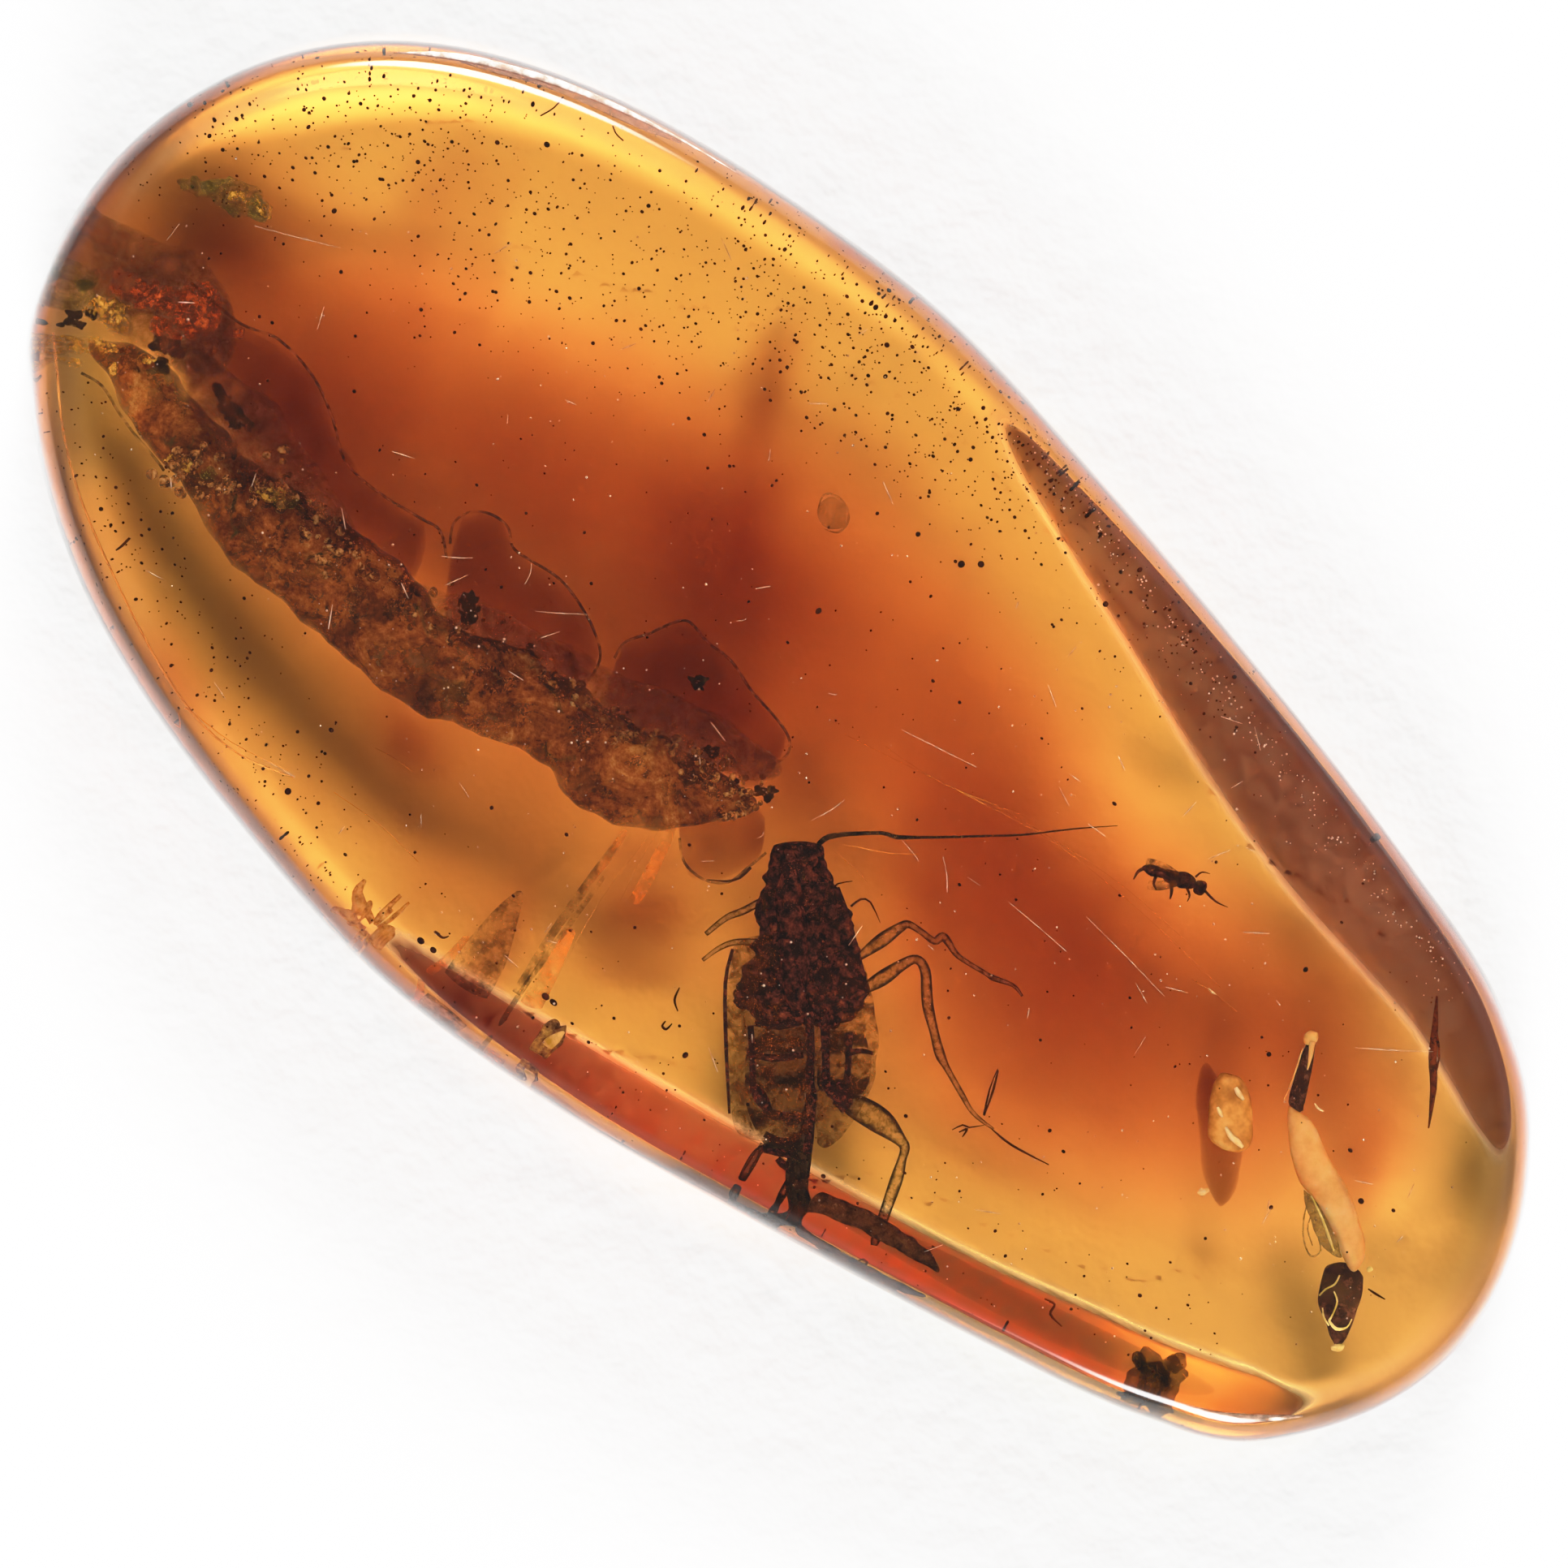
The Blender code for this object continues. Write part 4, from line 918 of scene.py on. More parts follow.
dark_end = (
    (1640, 1548, 1676, 1560, 2.5), (1628, 1562, 1676, 1575, 2.5), (1621, 1590, 1673, 1598, 2.48),
    (1625, 1614, 1665, 1620, 2.45), (1633, 1636, 1659, 1640, 2.42), (1638, 1655, 1652, 1657, 2.38),
)
neck = ((1612, 1284, 2.80, 0.07), (1606, 1305, 2.80, 0.11), (1600, 1330, 2.78, 0.125), (1594, 1356, 2.76, 0.13), (1598, 1368, 2.76, 0.06))
parts = [
    rod(inside(neck), 14),
    slab(dark_end, 0.34, blunt=1.4, bumps=0.03, size=0.3, segments=(24, 44)),
]
make_piece("stem_dark_ends", joined(parts), neck_finish, "stem_fragment")
# Bright finish of the stem's cracks; it also colours the flake's painted highlight.
crack_and_highlight_finish, shader = new_finish("bright_crack_and_highlight")
tone = grain(crack_and_highlight_finish, 0.2, detail=4)
feed(crack_and_highlight_finish, shader.inputs["Base Color"], ramp(crack_and_highlight_finish, tone, (0.35, (0.60, 0.50, 0.12)), (0.6, (1.0, 0.95, 0.55))))
shader.inputs["Roughness"].default_value = 0.4
cracks = (
    ((1647, 1568, 2.70, 0.014), (1641, 1579, 2.71, 0.016), (1630, 1585, 2.70, 0.014), (1622, 1593, 2.68, 0.012)),
    ((1640, 1588, 2.70, 0.012), (1644, 1600, 2.70, 0.016), (1639, 1615, 2.68, 0.014), (1634, 1624, 2.66, 0.022)),
    ((1634, 1624, 2.64, 0.02), (1643, 1634, 2.62, 0.03), (1656, 1632, 2.60, 0.014), (1662, 1622, 2.6, 0.01)),
    ((1626, 1608, 2.64, 0.012), (1628, 1620, 2.62, 0.016), (1634, 1630, 2.6, 0.014)),
    ((1612, 1470, 2.86, 0.012), (1626, 1500, 2.85, 0.02), (1634, 1522, 2.82, 0.024), (1640, 1538, 2.78, 0.012)),
)
parts = [rod(inside(route), 6) for route in cracks]
parts.append(lump(spot(1645, 1657, 2.46), (0.11, 0.06, 0.05), 10, bumps=0.03, size=0.06))
parts.append(lump(spot(1684, 1561, 2.6), (0.05, 0.04, 0.03), 20, bumps=0.02, size=0.06))
make_piece("stem_cracks", joined(parts), crack_and_highlight_finish, "stem_fragment")
facet_finish, _ = shell_finish("green_facet", ((0.35, (0.10, 0.07, 0.02)), (0.5, (0.30, 0.22, 0.07)), (0.65, (0.55, 0.42, 0.15))), ((0.35, 0.75), (0.65, 0.35)), 0.16, 0.4)
facet = ((1602, 1462, 1606, 1466, 2.6), (1606, 1480, 1626, 1482, 2.6), (1612, 1505, 1640, 1508, 2.58), (1624, 1530, 1646, 1534, 2.56), (1640, 1545, 1650, 1548, 2.54))
parts = [slab(facet, 0.12, bumps=0.04, size=0.2, segments=(16, 24))]
parts += [rod(inside(route), 6) for route in (
    ((1607, 1482, 2.5, 0.01), (1603, 1500, 2.5, 0.016), (1603, 1525, 2.5, 0.014), (1612, 1545, 2.5, 0.018), (1624, 1538, 2.5, 0.014), (1620, 1520, 2.5, 0.01)),
    ((1612, 1495, 2.5, 0.01), (1608, 1512, 2.5, 0.016), (1614, 1532, 2.5, 0.01)),
)]
make_piece("stem_facet", joined(parts), facet_finish, "stem_fragment")

# ---------------------------------------------------------------- bubbles
# Gas that the resin trapped. A bubble in resin shows bright because light can't pass from the
# resin into it at a slant; here that reflection is painted gold on its skin. The dark lens under the large one is its
# painted shadow, and the near-white points are painted glints.

bubble_reflection_finish, shader = new_finish("bubble_with_painted_reflection")
tone = grain(bubble_reflection_finish, 0.35, detail=3)
feed(bubble_reflection_finish, shader.inputs["Base Color"], ramp(bubble_reflection_finish, tone, (0.35, (0.62, 0.27, 0.07)), (0.55, (0.88, 0.47, 0.14)), (0.7, (1.0, 0.68, 0.28))))
feed(bubble_reflection_finish, shader.inputs["Alpha"], ramp(bubble_reflection_finish, tone, (0.3, 0.55), (0.6, 0.9)))
shader.inputs["Roughness"].default_value = 0.25
shader.inputs["Specular IOR Level"].default_value = 0.5
bubble = (
    (1494, 1322, 1512, 1318, 2.5), (1489, 1345, 1530, 1332, 2.5), (1485, 1372, 1539, 1362, 2.5),
    (1486, 1398, 1540, 1392, 2.5), (1500, 1412, 1536, 1410, 2.5), (1512, 1417, 1526, 1418, 2.5),
)
make_piece("bubble_with_painted_reflection", slab(bubble, 0.45, blunt=1.6, bumps=0.04, size=0.4, segments=(32, 48)), bubble_reflection_finish, "amber")
# Painted shadow: a dark lens of tinted resin under the large bubble.
bubble_shadow_finish = flow_finish("bubble_painted_shadow", (0.35, 0.06, 0.03), 2600.0)
bubble_shadow_rows = (
    (1474, 1310, 1492, 1306, 1.95), (1472, 1340, 1500, 1330, 1.95), (1473, 1380, 1520, 1380, 1.95),
    (1477, 1420, 1529, 1418, 1.95), (1483, 1450, 1524, 1452, 1.95), (1492, 1474, 1512, 1476, 1.95), (1498, 1484, 1505, 1485, 1.95),
)
make_piece("bubble_painted_shadow", slab(bubble_shadow_rows, 0.50, blunt=1.4, bumps=0.04, size=0.4, segments=(28, 44)), bubble_shadow_finish, "amber")
# Painted glints: near-white points of reflected light on the bubbles and by the stem's cap, and one pale crumb.
glint_and_crumb_finish, shader = new_finish("painted_glint_and_crumb")
tone = grain(glint_and_crumb_finish, 0.1, detail=3)
feed(glint_and_crumb_finish, shader.inputs["Base Color"], ramp(glint_and_crumb_finish, tone, (0.35, (1.0, 0.82, 0.45)), (0.6, (1.0, 0.97, 0.85))))
shader.inputs["Roughness"].default_value = 0.3
parts = [rod(inside(route), 8) for route in (
    ((1519, 1338, 2.78, 0.03), (1523, 1345, 2.79, 0.045), (1529, 1353, 2.78, 0.02)),
    ((1507, 1386, 2.78, 0.02), (1513, 1397, 2.79, 0.045), (1521, 1404, 2.79, 0.05), (1528, 1411, 2.77, 0.025)),
    ((1497, 1362, 2.74, 0.02), (1500, 1368, 2.75, 0.035), (1503, 1374, 2.74, 0.015)),
    ((1616, 1357, 2.9, 0.012), (1620, 1363, 2.9, 0.018), (1627, 1367, 2.9, 0.012)),
    ((1486, 1216, 3.0, 0.006), (1490, 1221, 3.0, 0.02), (1495, 1224, 3.0, 0.006)),
)]
parts.append(lump(spot(1480, 1466, 2.4), (0.09, 0.055, 0.04), 20, bumps=0.03, size=0.05))
make_piece("painted_glints_and_crumb", joined(parts), glint_and_crumb_finish, "amber")
ring_colours = ((0.35, (0.10, 0.04, 0.015)), (0.6, (0.35, 0.15, 0.05)))
ring_finish, _ = shell_finish("ring_bubble", ring_colours, ((0.35, 0.5), (0.65, 0.15)), 0.2, 0.3)
parts = [lump(spot(1025, 635, 3.0), (0.22, 0.26, 0.16), 20, bumps=0.03, size=0.2)]
parts.append(rod(inside(((1008, 628, 3.05, 0.01), (1014, 613, 3.1, 0.02), (1028, 612, 3.1, 0.025), (1042, 626, 3.1, 0.02), (1044, 645, 3.1, 0.025), (1032, 658, 3.08, 0.02), (1016, 654, 3.06, 0.012))), 6))
make_piece("ring_bubble", joined(parts), ring_finish, "amber")

# ---------------------------------------------------------------- small scraps by the rim
# A spine, a glassy splinter, a curled scale with a fan, a crumb of bark and a banded twig.

thorn_finish, _ = shell_finish("thorn", ((0.35, (0.03, 0.008, 0.005)), (0.6, (0.16, 0.035, 0.015))), ((0.3, 1.0), (0.7, 0.85)), 0.1, 0.5)
thorn_route = ((1766, 1226, 2.64, 0.015), (1764, 1262, 2.63, 0.05), (1761, 1300, 2.62, 0.07), (1762, 1340, 2.60, 0.055), (1756, 1388, 2.58, 0.012))
parts = [rod(inside(thorn_route), 10), rod(inside(((1764, 1262, 2.66, 0.02), (1769, 1300, 2.66, 0.02), (1760, 1335, 2.64, 0.01))), 6)]
make_piece("thorn", joined(parts), thorn_finish, "thorn", "thorn")
splinter_finish, shader = new_finish("glassy_splinter")
tone = grain(splinter_finish, 0.16, detail=6, roughness=0.7)
feed(splinter_finish, shader.inputs["Base Color"], ramp(splinter_finish, tone, (0.36, (0.08, 0.05, 0.035)), (0.48, (0.30, 0.20, 0.14)), (0.60, (0.62, 0.50, 0.20)), (0.70, (0.9, 0.8, 0.4))))
shader.inputs["Roughness"].default_value = 0.35
raise_relief(splinter_finish, shader, tone, 0.04, 0.8)
splinter = (
    (698, 1261, 700, 1263, 2.34), (683, 1267, 696, 1280, 2.34), (668, 1280, 686, 1292, 2.33),
    (653, 1292, 675, 1304, 2.32), (642, 1306, 662, 1320, 2.30), (634, 1318, 650, 1329, 2.28),
)
make_piece("golden_flake", slab(splinter, 0.13, blunt=1.8, bumps=0.03, size=0.2, segments=(20, 32)), splinter_finish, "golden_flake", "golden_flake")
# A painted highlight along the flake's top.
flake_highlight_rows = ((694, 1268, 698, 1270, 2.46), (676, 1276, 690, 1283, 2.46), (669, 1284, 680, 1292, 2.45))
make_piece("flake_painted_highlight", slab(flake_highlight_rows, 0.04, segments=(12, 16)), crack_and_highlight_finish, "golden_flake")
scale_finish, _ = shell_finish("pale_scale", ((0.35, (0.42, 0.16, 0.06)), (0.5, (0.85, 0.55, 0.20)), (0.65, (1.0, 0.85, 0.50))), ((0.35, 0.7), (0.6, 0.95)), 0.12, 0.4)
parts = [
    rod(inside(((452, 1084, 2.3, 0.03), (443, 1098, 2.34, 0.08), (447, 1114, 2.32, 0.08), (455, 1124, 2.3, 0.05), (461, 1136, 2.28, 0.03))), 10),
    lump(spot(456, 1118, 2.36), (0.06, 0.12, 0.04), -20, bumps=0.02, size=0.1),
    lump(spot(473, 1152, 2.2), (0.14, 0.13, 0.04), 0, bumps=0.03, size=0.1),
    rod(inside(((464, 1140, 2.2, 0.02), (450, 1148, 2.2, 0.05), (437, 1160, 2.16, 0.03))), 8),
    rod(inside(((464, 1142, 2.2, 0.02), (448, 1155, 2.2, 0.045), (436, 1168, 2.16, 0.02))), 8),
    rod(inside(((466, 1144, 2.2, 0.02), (456, 1158, 2.2, 0.04), (448, 1168, 2.16, 0.02))), 8),
]
make_piece("pale_scale", joined(parts), scale_finish, "pale_scale", "pale_scale")
crumb_colours = ((0.35, (0.018, 0.012, 0.005)), (0.5, (0.10, 0.05, 0.014)), (0.65, (0.32, 0.16, 0.04)))
crumb_finish, _ = shell_finish("bark_crumb", crumb_colours, ((0.35, 0.95), (0.6, 0.45)), 0.14, 0.85)
parts = [
    lump(spot(1412, 1688, 2.05), (0.26, 0.30, 0.16), 10, bumps=0.20, size=0.22),
    lump(spot(1434, 1694, 2.02), (0.30, 0.24, 0.14), -10, bumps=0.18, size=0.2, seed=2),
    lump(spot(1402, 1672, 2.05), (0.10, 0.14, 0.08), 0, bumps=0.08, size=0.12, seed=3),
    lump(spot(1446, 1676, 2.02), (0.14, 0.16, 0.08), 0, bumps=0.10, size=0.12, seed=4),
]
make_piece("bark_crumb", joined(parts), crumb_finish, "bark_crumb", "bark_crumb")
twig_finish, shader = new_finish("banded_twig")
mottle = grain(twig_finish, 0.16, detail=9, roughness=0.75)
feed(twig_finish, shader.inputs["Base Color"], ramp(twig_finish, mottle, (0.34, (0.012, 0.008, 0.006)), (0.47, (0.06, 0.028, 0.016)), (0.58, (0.18, 0.085, 0.045)), (0.7, (0.38, 0.20, 0.11))))
feed(twig_finish, shader.inputs["Alpha"], ramp(twig_finish, mottle, (0.42, 1.0), (0.62, 0.7)))
shader.inputs["Roughness"].default_value = 0.8
raise_relief(twig_finish, shader, mottle, 0.06, 0.8)
twig = (
    (988, 1492, 980, 1514, 2.42), (1010, 1493, 1000, 1526, 2.44), (1035, 1502, 1025, 1543, 2.44),
    (1060, 1513, 1048, 1556, 2.44), (1085, 1527, 1075, 1568, 2.44), (1110, 1540, 1100, 1580, 2.44),
    (1135, 1553, 1124, 1590, 2.44), (1152, 1566, 1142, 1594, 2.42),
)
make_piece("twig", slab(twig, 0.34, blunt=2.4, bumps=0.06, size=0.22, segments=(28, 64)), twig_finish, "twig_fragment", "twig_fragment")

# ---------------------------------------------------------------- specks in the resin
# Dust, soot and droppings: dark red-brown dots that lie thickest by the upper rim, with a
# few larger ones, and pale scratches and dust on the polished top.

random.seed(11)
speck_finish, shader = new_finish("dark_specks")
tone = grain(speck_finish, 0.3, detail=3)
feed(speck_finish, shader.inputs["Base Color"], ramp(speck_finish, tone, (0.35, (0.008, 0.003, 0.002)), (0.65, (0.06, 0.015, 0.006))))
shader.inputs["Roughness"].default_value = 0.8
# The large dots: across, down and radius on the drawing.
dots = (
    (1183, 697, 4.5), (1207, 697, 4.5), (1130, 660, 3.5), (1080, 635, 3), (1093, 363, 3), (1092, 428, 3),
    (1123, 431, 3), (1024, 452, 2.5), (1011, 468, 2.5), (1090, 467, 3), (1044, 391, 2.5), (615, 181, 3.5),
    (676, 184, 3.5), (518, 205, 3.5), (545, 226, 2.5), (674, 1226, 5), (684, 1233, 5), (521, 1158, 4.5),
    (537, 1169, 5), (1179, 507, 3), (1213, 519, 2.5), (1194, 569, 3.5), (1008, 754, 4.5), (1181, 866, 2.5),
    (908, 962, 4), (918, 975, 3.5), (845, 1298, 4), (1604, 1193, 3.5), (415, 264, 3.5), (384, 162, 3),
    (262, 172, 3), (268, 152, 3), (295, 151, 3), (633, 349, 2.5), (1359, 746, 4), (1401, 704, 3.5),
    (1692, 1030, 4.5), (1560, 1297, 3), (1673, 1477, 3.5), (1712, 1488, 3), (1660, 1415, 3), (1562, 1484, 3),
    (838, 1262, 2.5), (1056, 1479, 2.5), (1014, 1446, 3), (1308, 1416, 2.5), (358, 975, 5), (132, 540, 2.5),
    (608, 995, 3), (412, 900, 3), (700, 1028, 3), (1010, 1070, 2.5), (1370, 990, 3), (1291, 1390, 2.5),
)
parts = []


def speck(across, down, z, radius):
    bm = bmesh.new()
    bmesh.ops.create_icosphere(bm, subdivisions=1, radius=radius)
    squash = Matrix.Diagonal((random.uniform(0.8, 1.3), random.uniform(0.8, 1.2), 0.7, 1.0))
    place = inward(*spot(across, down, z))
    bmesh.ops.transform(bm, matrix=Matrix.Translation(place) @ squash, verts=bm.verts)
    return bm


def on_stone(across, down, margin=0.93):
    x, y = spot(across, down, amber_height).xy
    return hypot(*disc_place(x, y)) < margin


for across, down, radius in dots:
    parts.append(speck(across, down, random.uniform(2.6, 3.6), radius / drawing_scale))
# The band along the upper rim, from its start to its end, and its half width.
bands = (
    ((180, 180), (620, 130), 90, 330), ((420, 200), (1000, 420), 150, 620),
    ((900, 300), (1300, 620), 110, 620), ((1200, 500), (1500, 850), 90, 260),
    ((80, 500), (420, 1080), 60, 260), ((450, 1150), (1500, 1660), 130, 200),
    ((300, 300), (1700, 1300), 420, 420),
)
for start, end, wide, count in bands:
    for _ in range(count):
        share = random.random()
        across = start[0] + (end[0] - start[0]) * share + random.gauss(0, wide * 0.6)
        down = start[1] + (end[1] - start[1]) * share + random.gauss(0, wide * 0.6)
        if on_stone(across, down, 0.965):
            radius = 0.012 + 0.020 * random.random() ** 3
            parts.append(speck(across, down, random.uniform(1.4, 3.9), radius))
make_piece("dark_specks", joined(parts), speck_finish, "amber")

# Pale dust; the same finish colours the painted rim highlights.
dust_and_highlight_finish, shader = new_finish("pale_dust_and_highlight")
tone = grain(dust_and_highlight_finish, 0.2, detail=3)
feed(dust_and_highlight_finish, shader.inputs["Base Color"], ramp(dust_and_highlight_finish, tone, (0.35, (0.85, 0.62, 0.48)), (0.65, (1.0, 0.95, 0.9))))
feed(dust_and_highlight_finish, shader.inputs["Alpha"], ramp(dust_and_highlight_finish, tone, (0.40, 0.5), (0.60, 1.0)))
shader.inputs["Roughness"].default_value = 0.7
skin = 0.03


def skin_place(across, down):
    """A place just under the polished top."""
    x, y = spot(across, down, amber_height).xy
    return Vector((x, y, surface_height(x, y) - skin))


parts = []
for _ in range(1500):
    across, down = random.uniform(120, 1800), random.uniform(200, 1650)
    if on_stone(across, down):
        bm = bmesh.new()
        radius = 0.007 + 0.016 * random.random() ** 3
        bmesh.ops.create_icosphere(bm, subdivisions=1, radius=radius)
        bmesh.ops.translate(bm, vec=skin_place(across, down), verts=bm.verts)
        parts.append(bm)
for _ in range(90):
    across, down = random.uniform(150, 1750), random.uniform(250, 1600)
    reach, heading = random.uniform(4, 16), random.uniform(0, 2 * pi)
    ends = [(across + s * reach * cos(heading), down + s * reach * sin(heading)) for s in (-1, 0, 1)]
    if all(on_stone(*end) for end in ends):
        route = [(skin_place(*end), radius) for end, radius in zip(ends, (0.003, 0.008, 0.003))]
        parts.append(rod(route, 4, 1))
# The pits along the outer edge of the broad bevel.
for _ in range(330):
    share = random.random()
    across = 1215 + (1790 - 1215) * share + random.gauss(0, 11)
    down = 470 + (1215 - 470) * share + 10 * sin(share * pi) + random.gauss(0, 10)
    if on_stone(across, down, 0.97):
        bm = bmesh.new()
        bmesh.ops.create_icosphere(bm, subdivisions=1, radius=random.uniform(0.006, 0.020))
        bmesh.ops.translate(bm, vec=skin_place(across, down), verts=bm.verts)
        parts.append(bm)
# The long scratches.
scratches = (
    ((650, 722), (658, 697)), ((663, 755), (730, 759)), ((908, 767), (920, 764)), ((1020, 855), (1030, 857)),
    ((933, 1032), (941, 1025)), ((1160, 1055), (1165, 1098)), ((1110, 1035), (1130, 1060)), ((1240, 1110), (1310, 1170)),
    ((1110, 900), (1200, 945)), ((320, 285), (425, 312)), ((330, 935), (370, 957)), ((1190, 1080), (1205, 1090)),
    ((1663, 1287), (1758, 1292)), ((1335, 1128), (1430, 1225)), ((1000, 1010), (1040, 985)), ((586, 690), (548, 688)),
)
for start, end in scratches:
    middle = ((start[0] + end[0]) / 2 + 2, (start[1] + end[1]) / 2 + 1)
    route = [(skin_place(*p), radius) for p, radius in zip((start, middle, end), (0.002, 0.006, 0.002))]
    parts.append(rod(route, 5, 3))
make_piece("surface_dust", joined(parts), dust_and_highlight_finish, "amber")

# ---------------------------------------------------------------- cracks and fibres
# Stress cracks between the layers catch the light as orange hair lines; a fan of dark and
# bright cracks runs from the strip to the rim. Dark fibres and hairs lie loose.

hairline_finish, shader = new_finish("orange_crack")
tone = grain(hairline_finish, 1.2, detail=4)
feed(hairline_finish, shader.inputs["Base Color"], ramp(hairline_finish, tone, (0.35, (0.85, 0.22, 0.04)), (0.6, (1.0, 0.55, 0.18))))
feed(hairline_finish, shader.inputs["Alpha"], ramp(hairline_finish, tone, (0.42, 0.06), (0.66, 0.8)))
hairlines = (
    ((1040, 905), (1120, 945), (1200, 985), (1300, 1040), (1400, 1120), (1500, 1215)),
    ((1210, 985), (1290, 1030), (1380, 1090), (1460, 1160)),
    ((1028, 1049), (1053, 1070), (1067, 1086)), ((1040, 1040), (1090, 1050), (1130, 1052)),
    ((1090, 920), (1160, 965), (1260, 1005)), ((230, 875), (290, 915), (360, 950)),
    ((415, 976), (470, 1015), (518, 1061)), ((466, 922), (490, 935), (512, 952)),
    ((820, 1010), (790, 1060), (765, 1110)), ((800, 1030), (740, 1110), (690, 1200)),
    ((1465, 1205), (1490, 1221), (1520, 1245)),
)
parts = []
for route in hairlines:
    radii = [0.003] + [0.006] * (len(route) - 2) + [0.003]
    parts.append(rod(inside([(*p, 3.1, radius) for p, radius in zip(route, radii)]), 5, 4))
left_rim = ((71, 413), (74, 445), (85, 543), (116, 645), (179, 779), (241, 878), (300, 930), (366, 958))
parts.append(rod(inside([(*p, 3.4, 0.014) for p in left_rim]), 5, 4))
make_piece("hairline_cracks", joined(parts), hairline_finish, "amber")
sheet_finish, shader = new_finish("bright_crack_sheet")
tone = grain(sheet_finish, 0.4, detail=6, stretch=(1, 1, 1))
feed(sheet_finish, shader.inputs["Base Color"], ramp(sheet_finish, tone, (0.35, (0.75, 0.16, 0.03)), (0.6, (1.0, 0.34, 0.08))))
feed(sheet_finish, shader.inputs["Alpha"], ramp(sheet_finish, tone, (0.38, 0.0), (0.65, 0.45)))
bright = (
    ((838, 985, 844, 990, 2.7), (816, 1030, 828, 1038, 2.5), (790, 1080, 804, 1090, 2.3), (774, 1108, 786, 1116, 2.1)),
    ((768, 1020, 776, 1024, 2.6), (745, 1055, 754, 1060, 2.5), (715, 1095, 722, 1098, 2.3)),
    ((700, 1140, 712, 1146, 2.3), (668, 1190, 690, 1200, 2.2), (640, 1235, 668, 1245, 2.0)),
    ((575, 1150, 582, 1154, 2.2), (545, 1180, 556, 1186, 2.1), (520, 1200, 530, 1206, 2.0)),
)
parts = [slab(rows, 0.03, segments=(10, 30)) for rows in bright]
make_piece("bright_cracks", joined(parts), sheet_finish, "amber")
shade_finish, shader = new_finish("dark_crack_sheet")
tone = grain(shade_finish, 0.25, detail=8, roughness=0.7)
feed(shade_finish, shader.inputs["Base Color"], ramp(shade_finish, tone, (0.35, (0.03, 0.01, 0.004)), (0.65, (0.12, 0.04, 0.012))))
feed(shade_finish, shader.inputs["Alpha"], ramp(shade_finish, tone, (0.38, 0.5), (0.60, 0.0)))
dark = (
    ((758, 1035, 766, 1040, 2.55), (720, 1085, 730, 1092, 2.45), (675, 1150, 684, 1156, 2.3), (635, 1215, 644, 1222, 2.15), (590, 1280, 598, 1287, 2.0)),
    ((745, 1075, 750, 1078, 2.5), (690, 1150, 696, 1154, 2.35), (650, 1205, 655, 1210, 2.2), (612, 1262, 618, 1266, 2.05)),
    ((640, 1095, 648, 1100, 2.3), (610, 1120, 640, 1135, 2.2), (570, 1165, 625, 1190, 2.1), (545, 1200, 600, 1235, 2.0)),
)
parts = [slab(rows, 0.03, segments=(10, 40)) for rows in dark]
make_piece("dark_cracks", joined(parts), shade_finish, "amber")
fibre_routes = (
    ((1285, 1596), (1297, 1603), (1292, 1615), (1306, 1630)), ((545, 1150), (538, 1146), (548, 1154), (556, 1152)),
    ((148, 680), (155, 675), (165, 665), (163, 668)),
    ((821, 1256), (817, 1262), (822, 1266), (829, 1259)), ((1681, 1584), (1690, 1590), (1702, 1597)),
    ((1220, 1388), (1245, 1408), (1290, 1432)), ((838, 1215), (832, 1230), (836, 1244)),
    ((1180, 1392), (1190, 1388), (1184, 1398)), ((1228, 1316), (1222, 1340), (1211, 1372)),
)
parts = []
for route in fibre_routes:
    radii = [0.012] + [0.022] * (len(route) - 2) + [0.010]
    parts.append(rod(inside([(*p, 3.2, radius) for p, radius in zip(route, radii)]), 6, 4))
rim_hairs = (
    ((1084, 348), (1089, 365), (1093, 382)), ((1099, 350), (1105, 362), (1111, 374)),
    ((1143, 389), (1148, 391), (1151, 395)), ((755, 165), (760, 174), (769, 182)),
    ((66, 577), (74, 575), (84, 573)), ((694, 132), (684, 142), (668, 151)),
    ((1814, 1521), (1826, 1525), (1838, 1529)),
)
for route in rim_hairs:
    if all(on_stone(*place, 0.985) for place in route):
        parts.append(rod([(skin_place(*place), 0.012) for place in route], 5, 3))
make_piece("loose_fibres", joined(parts), speck_finish, "amber")

# ---------------------------------------------------------------- the chip on the rim, and painted rim highlights
# A shallow shell-shaped chip along the upper rim, with pale haze outside it. Its bright lip and a line along the lower
# rim are painted highlights, where the lamps reflect in the rim.

haze_finish, shader = new_finish("chip_haze")
tone = grain(haze_finish, 0.5, detail=7, roughness=0.7)
feed(haze_finish, shader.inputs["Base Color"], ramp(haze_finish, tone, (0.35, (0.62, 0.40, 0.34)), (0.65, (0.95, 0.78, 0.68))))
feed(haze_finish, shader.inputs["Alpha"], ramp(haze_finish, tone, (0.35, 0.15), (0.70, 0.55)))


def rim_route(places, radii, z):
    return [(inward(*spot(*place, z)), radius) for place, radius in zip(places, radii)]


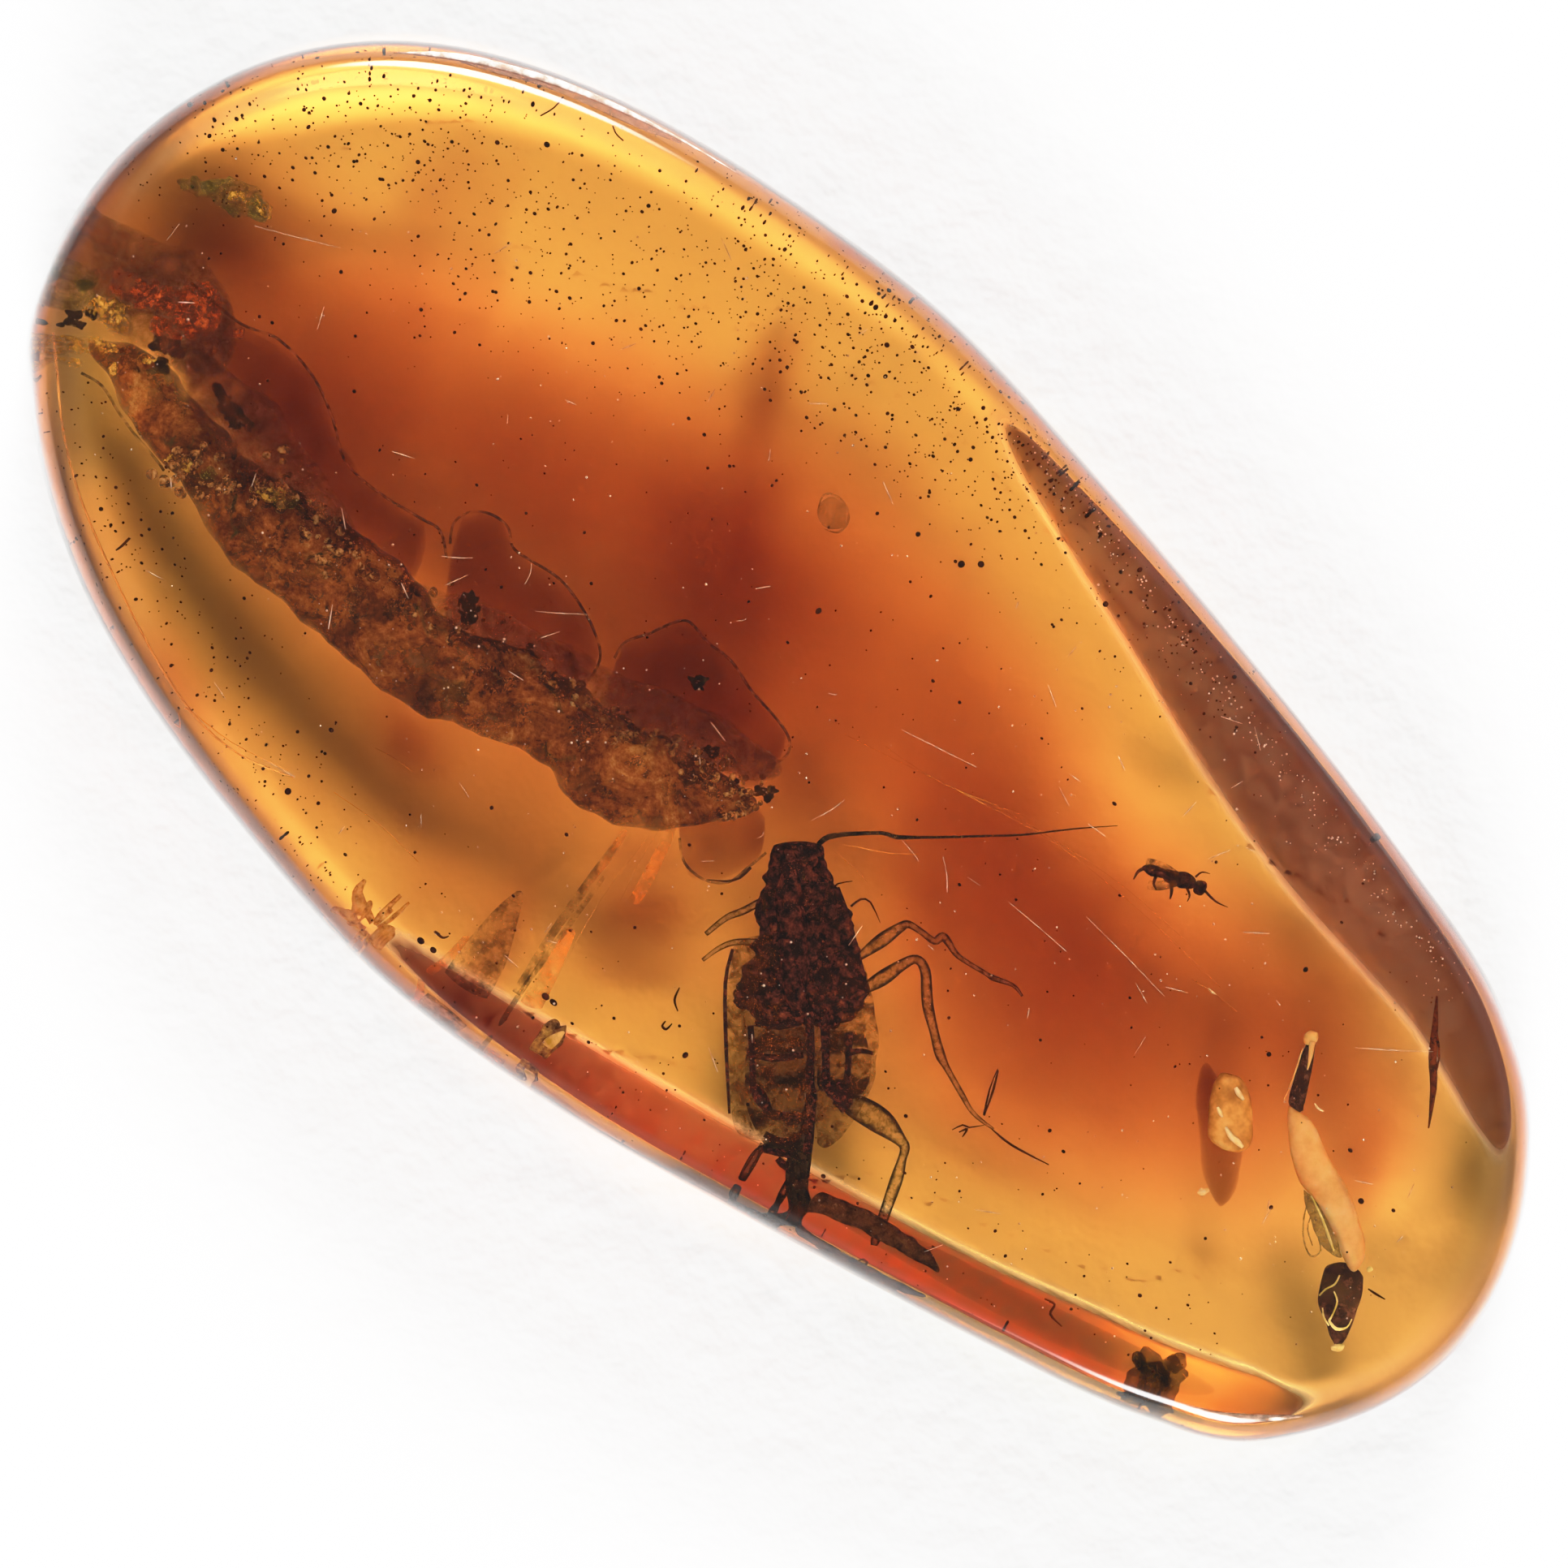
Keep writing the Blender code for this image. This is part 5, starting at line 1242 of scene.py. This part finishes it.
# Painted highlights: the lamps' reflection along the chip's edge, then along the lower rim.
upper_rim_highlight = ((490, 73), (540, 77), (590, 85), (668, 105), (721, 127), (761, 143), (801, 160), (850, 178), (890, 196))
parts = [rod(rim_route(upper_rim_highlight, (0.02, 0.07, 0.09, 0.09, 0.08, 0.07, 0.05, 0.03, 0.01), 4.0), 8, 4)]
parts.append(rod(rim_route(((1441, 1722), (1500, 1738), (1560, 1742), (1600, 1738)), (0.02, 0.05, 0.06, 0.02), 3.6), 8, 4))
make_piece("rim_painted_highlights", joined(parts), dust_and_highlight_finish, "amber")
chip = ((540, 60, 560, 80, 3.7), (587, 72, 605, 95, 3.7), (641, 84, 668, 112, 3.7), (700, 105, 730, 138, 3.7), (760, 132, 790, 165, 3.7), (820, 165, 850, 188, 3.7))
make_piece("chip_haze", slab(chip, 0.03, segments=(16, 60)), haze_finish, "amber")

# ---------------------------------------------------------------- floor, light and camera
# A sheet of white paper, a soft sky with two broad lamps across the stone, and the camera
# straight above.

bm = bmesh.new()
bmesh.ops.create_grid(bm, x_segments=8, y_segments=8, size=0.6)
bmesh.ops.translate(bm, vec=(0, 0, -0.00003), verts=bm.verts)
mesh = bpy.data.meshes.new("paper")
bm.to_mesh(mesh)
bm.free()
paper = bpy.data.objects.new("paper", mesh)
bpy.context.scene.collection.objects.link(paper)
paper_finish, shader = new_finish("paper")
shader.inputs["Base Color"].default_value = (0.9, 0.9, 0.89, 1)
shader.inputs["Roughness"].default_value = 1.0
shader.inputs["Specular IOR Level"].default_value = 0.0
raise_relief(paper_finish, shader, grain(paper_finish, 0.9, detail=3), 0.12, 0.5)
mesh.materials.append(paper_finish)

world = bpy.data.worlds.new("studio")
world.use_nodes = True
right = Vector((cos(radians(VIEW_TURN)), sin(radians(VIEW_TURN)), 0))
up = Vector((-sin(radians(VIEW_TURN)), cos(radians(VIEW_TURN)), 0))
ray = add(world, "TexCoord").outputs["Generated"]
height = add(world, "SeparateXYZ", {"Vector": ray}).outputs["Z"]
fade = {"Value": height, "From Min": 0.7, "From Max": 0.9, "To Min": 0.85, "To Max": 0.20}
sky = add(world, "MapRange", fade).outputs[0]
# Clockwise from straight up the view, height above the floor, strength.
for bearing, elevation, strength in ((9, 32, 27.0), (181, 32, 27.0)):
    level = up * cos(radians(bearing)) + right * sin(radians(bearing))
    lamp = level * cos(radians(elevation)) + Vector((0, 0, sin(radians(elevation))))
    nearness = add(world, "VectorMath", {0: ray, 1: lamp}, operation="DOT_PRODUCT")
    fade = {"Value": nearness.outputs["Value"], "To Max": strength}
    fade["From Min"] = cos(radians(18))
    fade["From Max"] = cos(radians(6))
    glow = add(world, "MapRange", fade, interpolation_type="SMOOTHSTEP").outputs[0]
    sky = add(world, "Math", {0: sky, 1: glow}, operation="ADD").outputs[0]
feed(world, world.node_tree.nodes["Background"].inputs["Strength"], sky)
world.node_tree.nodes["Background"].inputs["Color"].default_value = (1, 1, 1, 1)
bpy.context.scene.world = world

camera = bpy.data.cameras.new("camera")
camera.sensor_width = 36.0
camera.lens = 36.0 * 298.5 / 24.48
camera.clip_start = 0.01
viewer = bpy.data.objects.new("camera", camera)
bpy.context.scene.collection.objects.link(viewer)
viewer.location = (0.00028, -0.00037, 0.30)
viewer.rotation_euler = (0, 0, radians(VIEW_TURN))
bpy.context.scene.camera = viewer

scene = bpy.context.scene
scene.cycles.max_bounces = 6
scene.cycles.transmission_bounces = 6
scene.cycles.transparent_max_bounces = 14
scene.cycles.diffuse_bounces = 2
scene.cycles.sample_clamp_indirect = 60.0
scene.cycles.blur_glossy = 0.0
scene.cycles.light_sampling_threshold = 0.1
view = scene.view_settings
view.view_transform = "Standard"
view.use_curve_mapping = True
tone = view.curve_mapping
tone.white_level = (2.0, 2.0, 2.0)
tone.curves[3].points[1].location = (1, 1)
for place in ((0.25, 0.5), (0.4, 0.78), (0.5, 0.90), (0.65, 0.965)):
    tone.curves[3].points.new(*place)
tone.update()
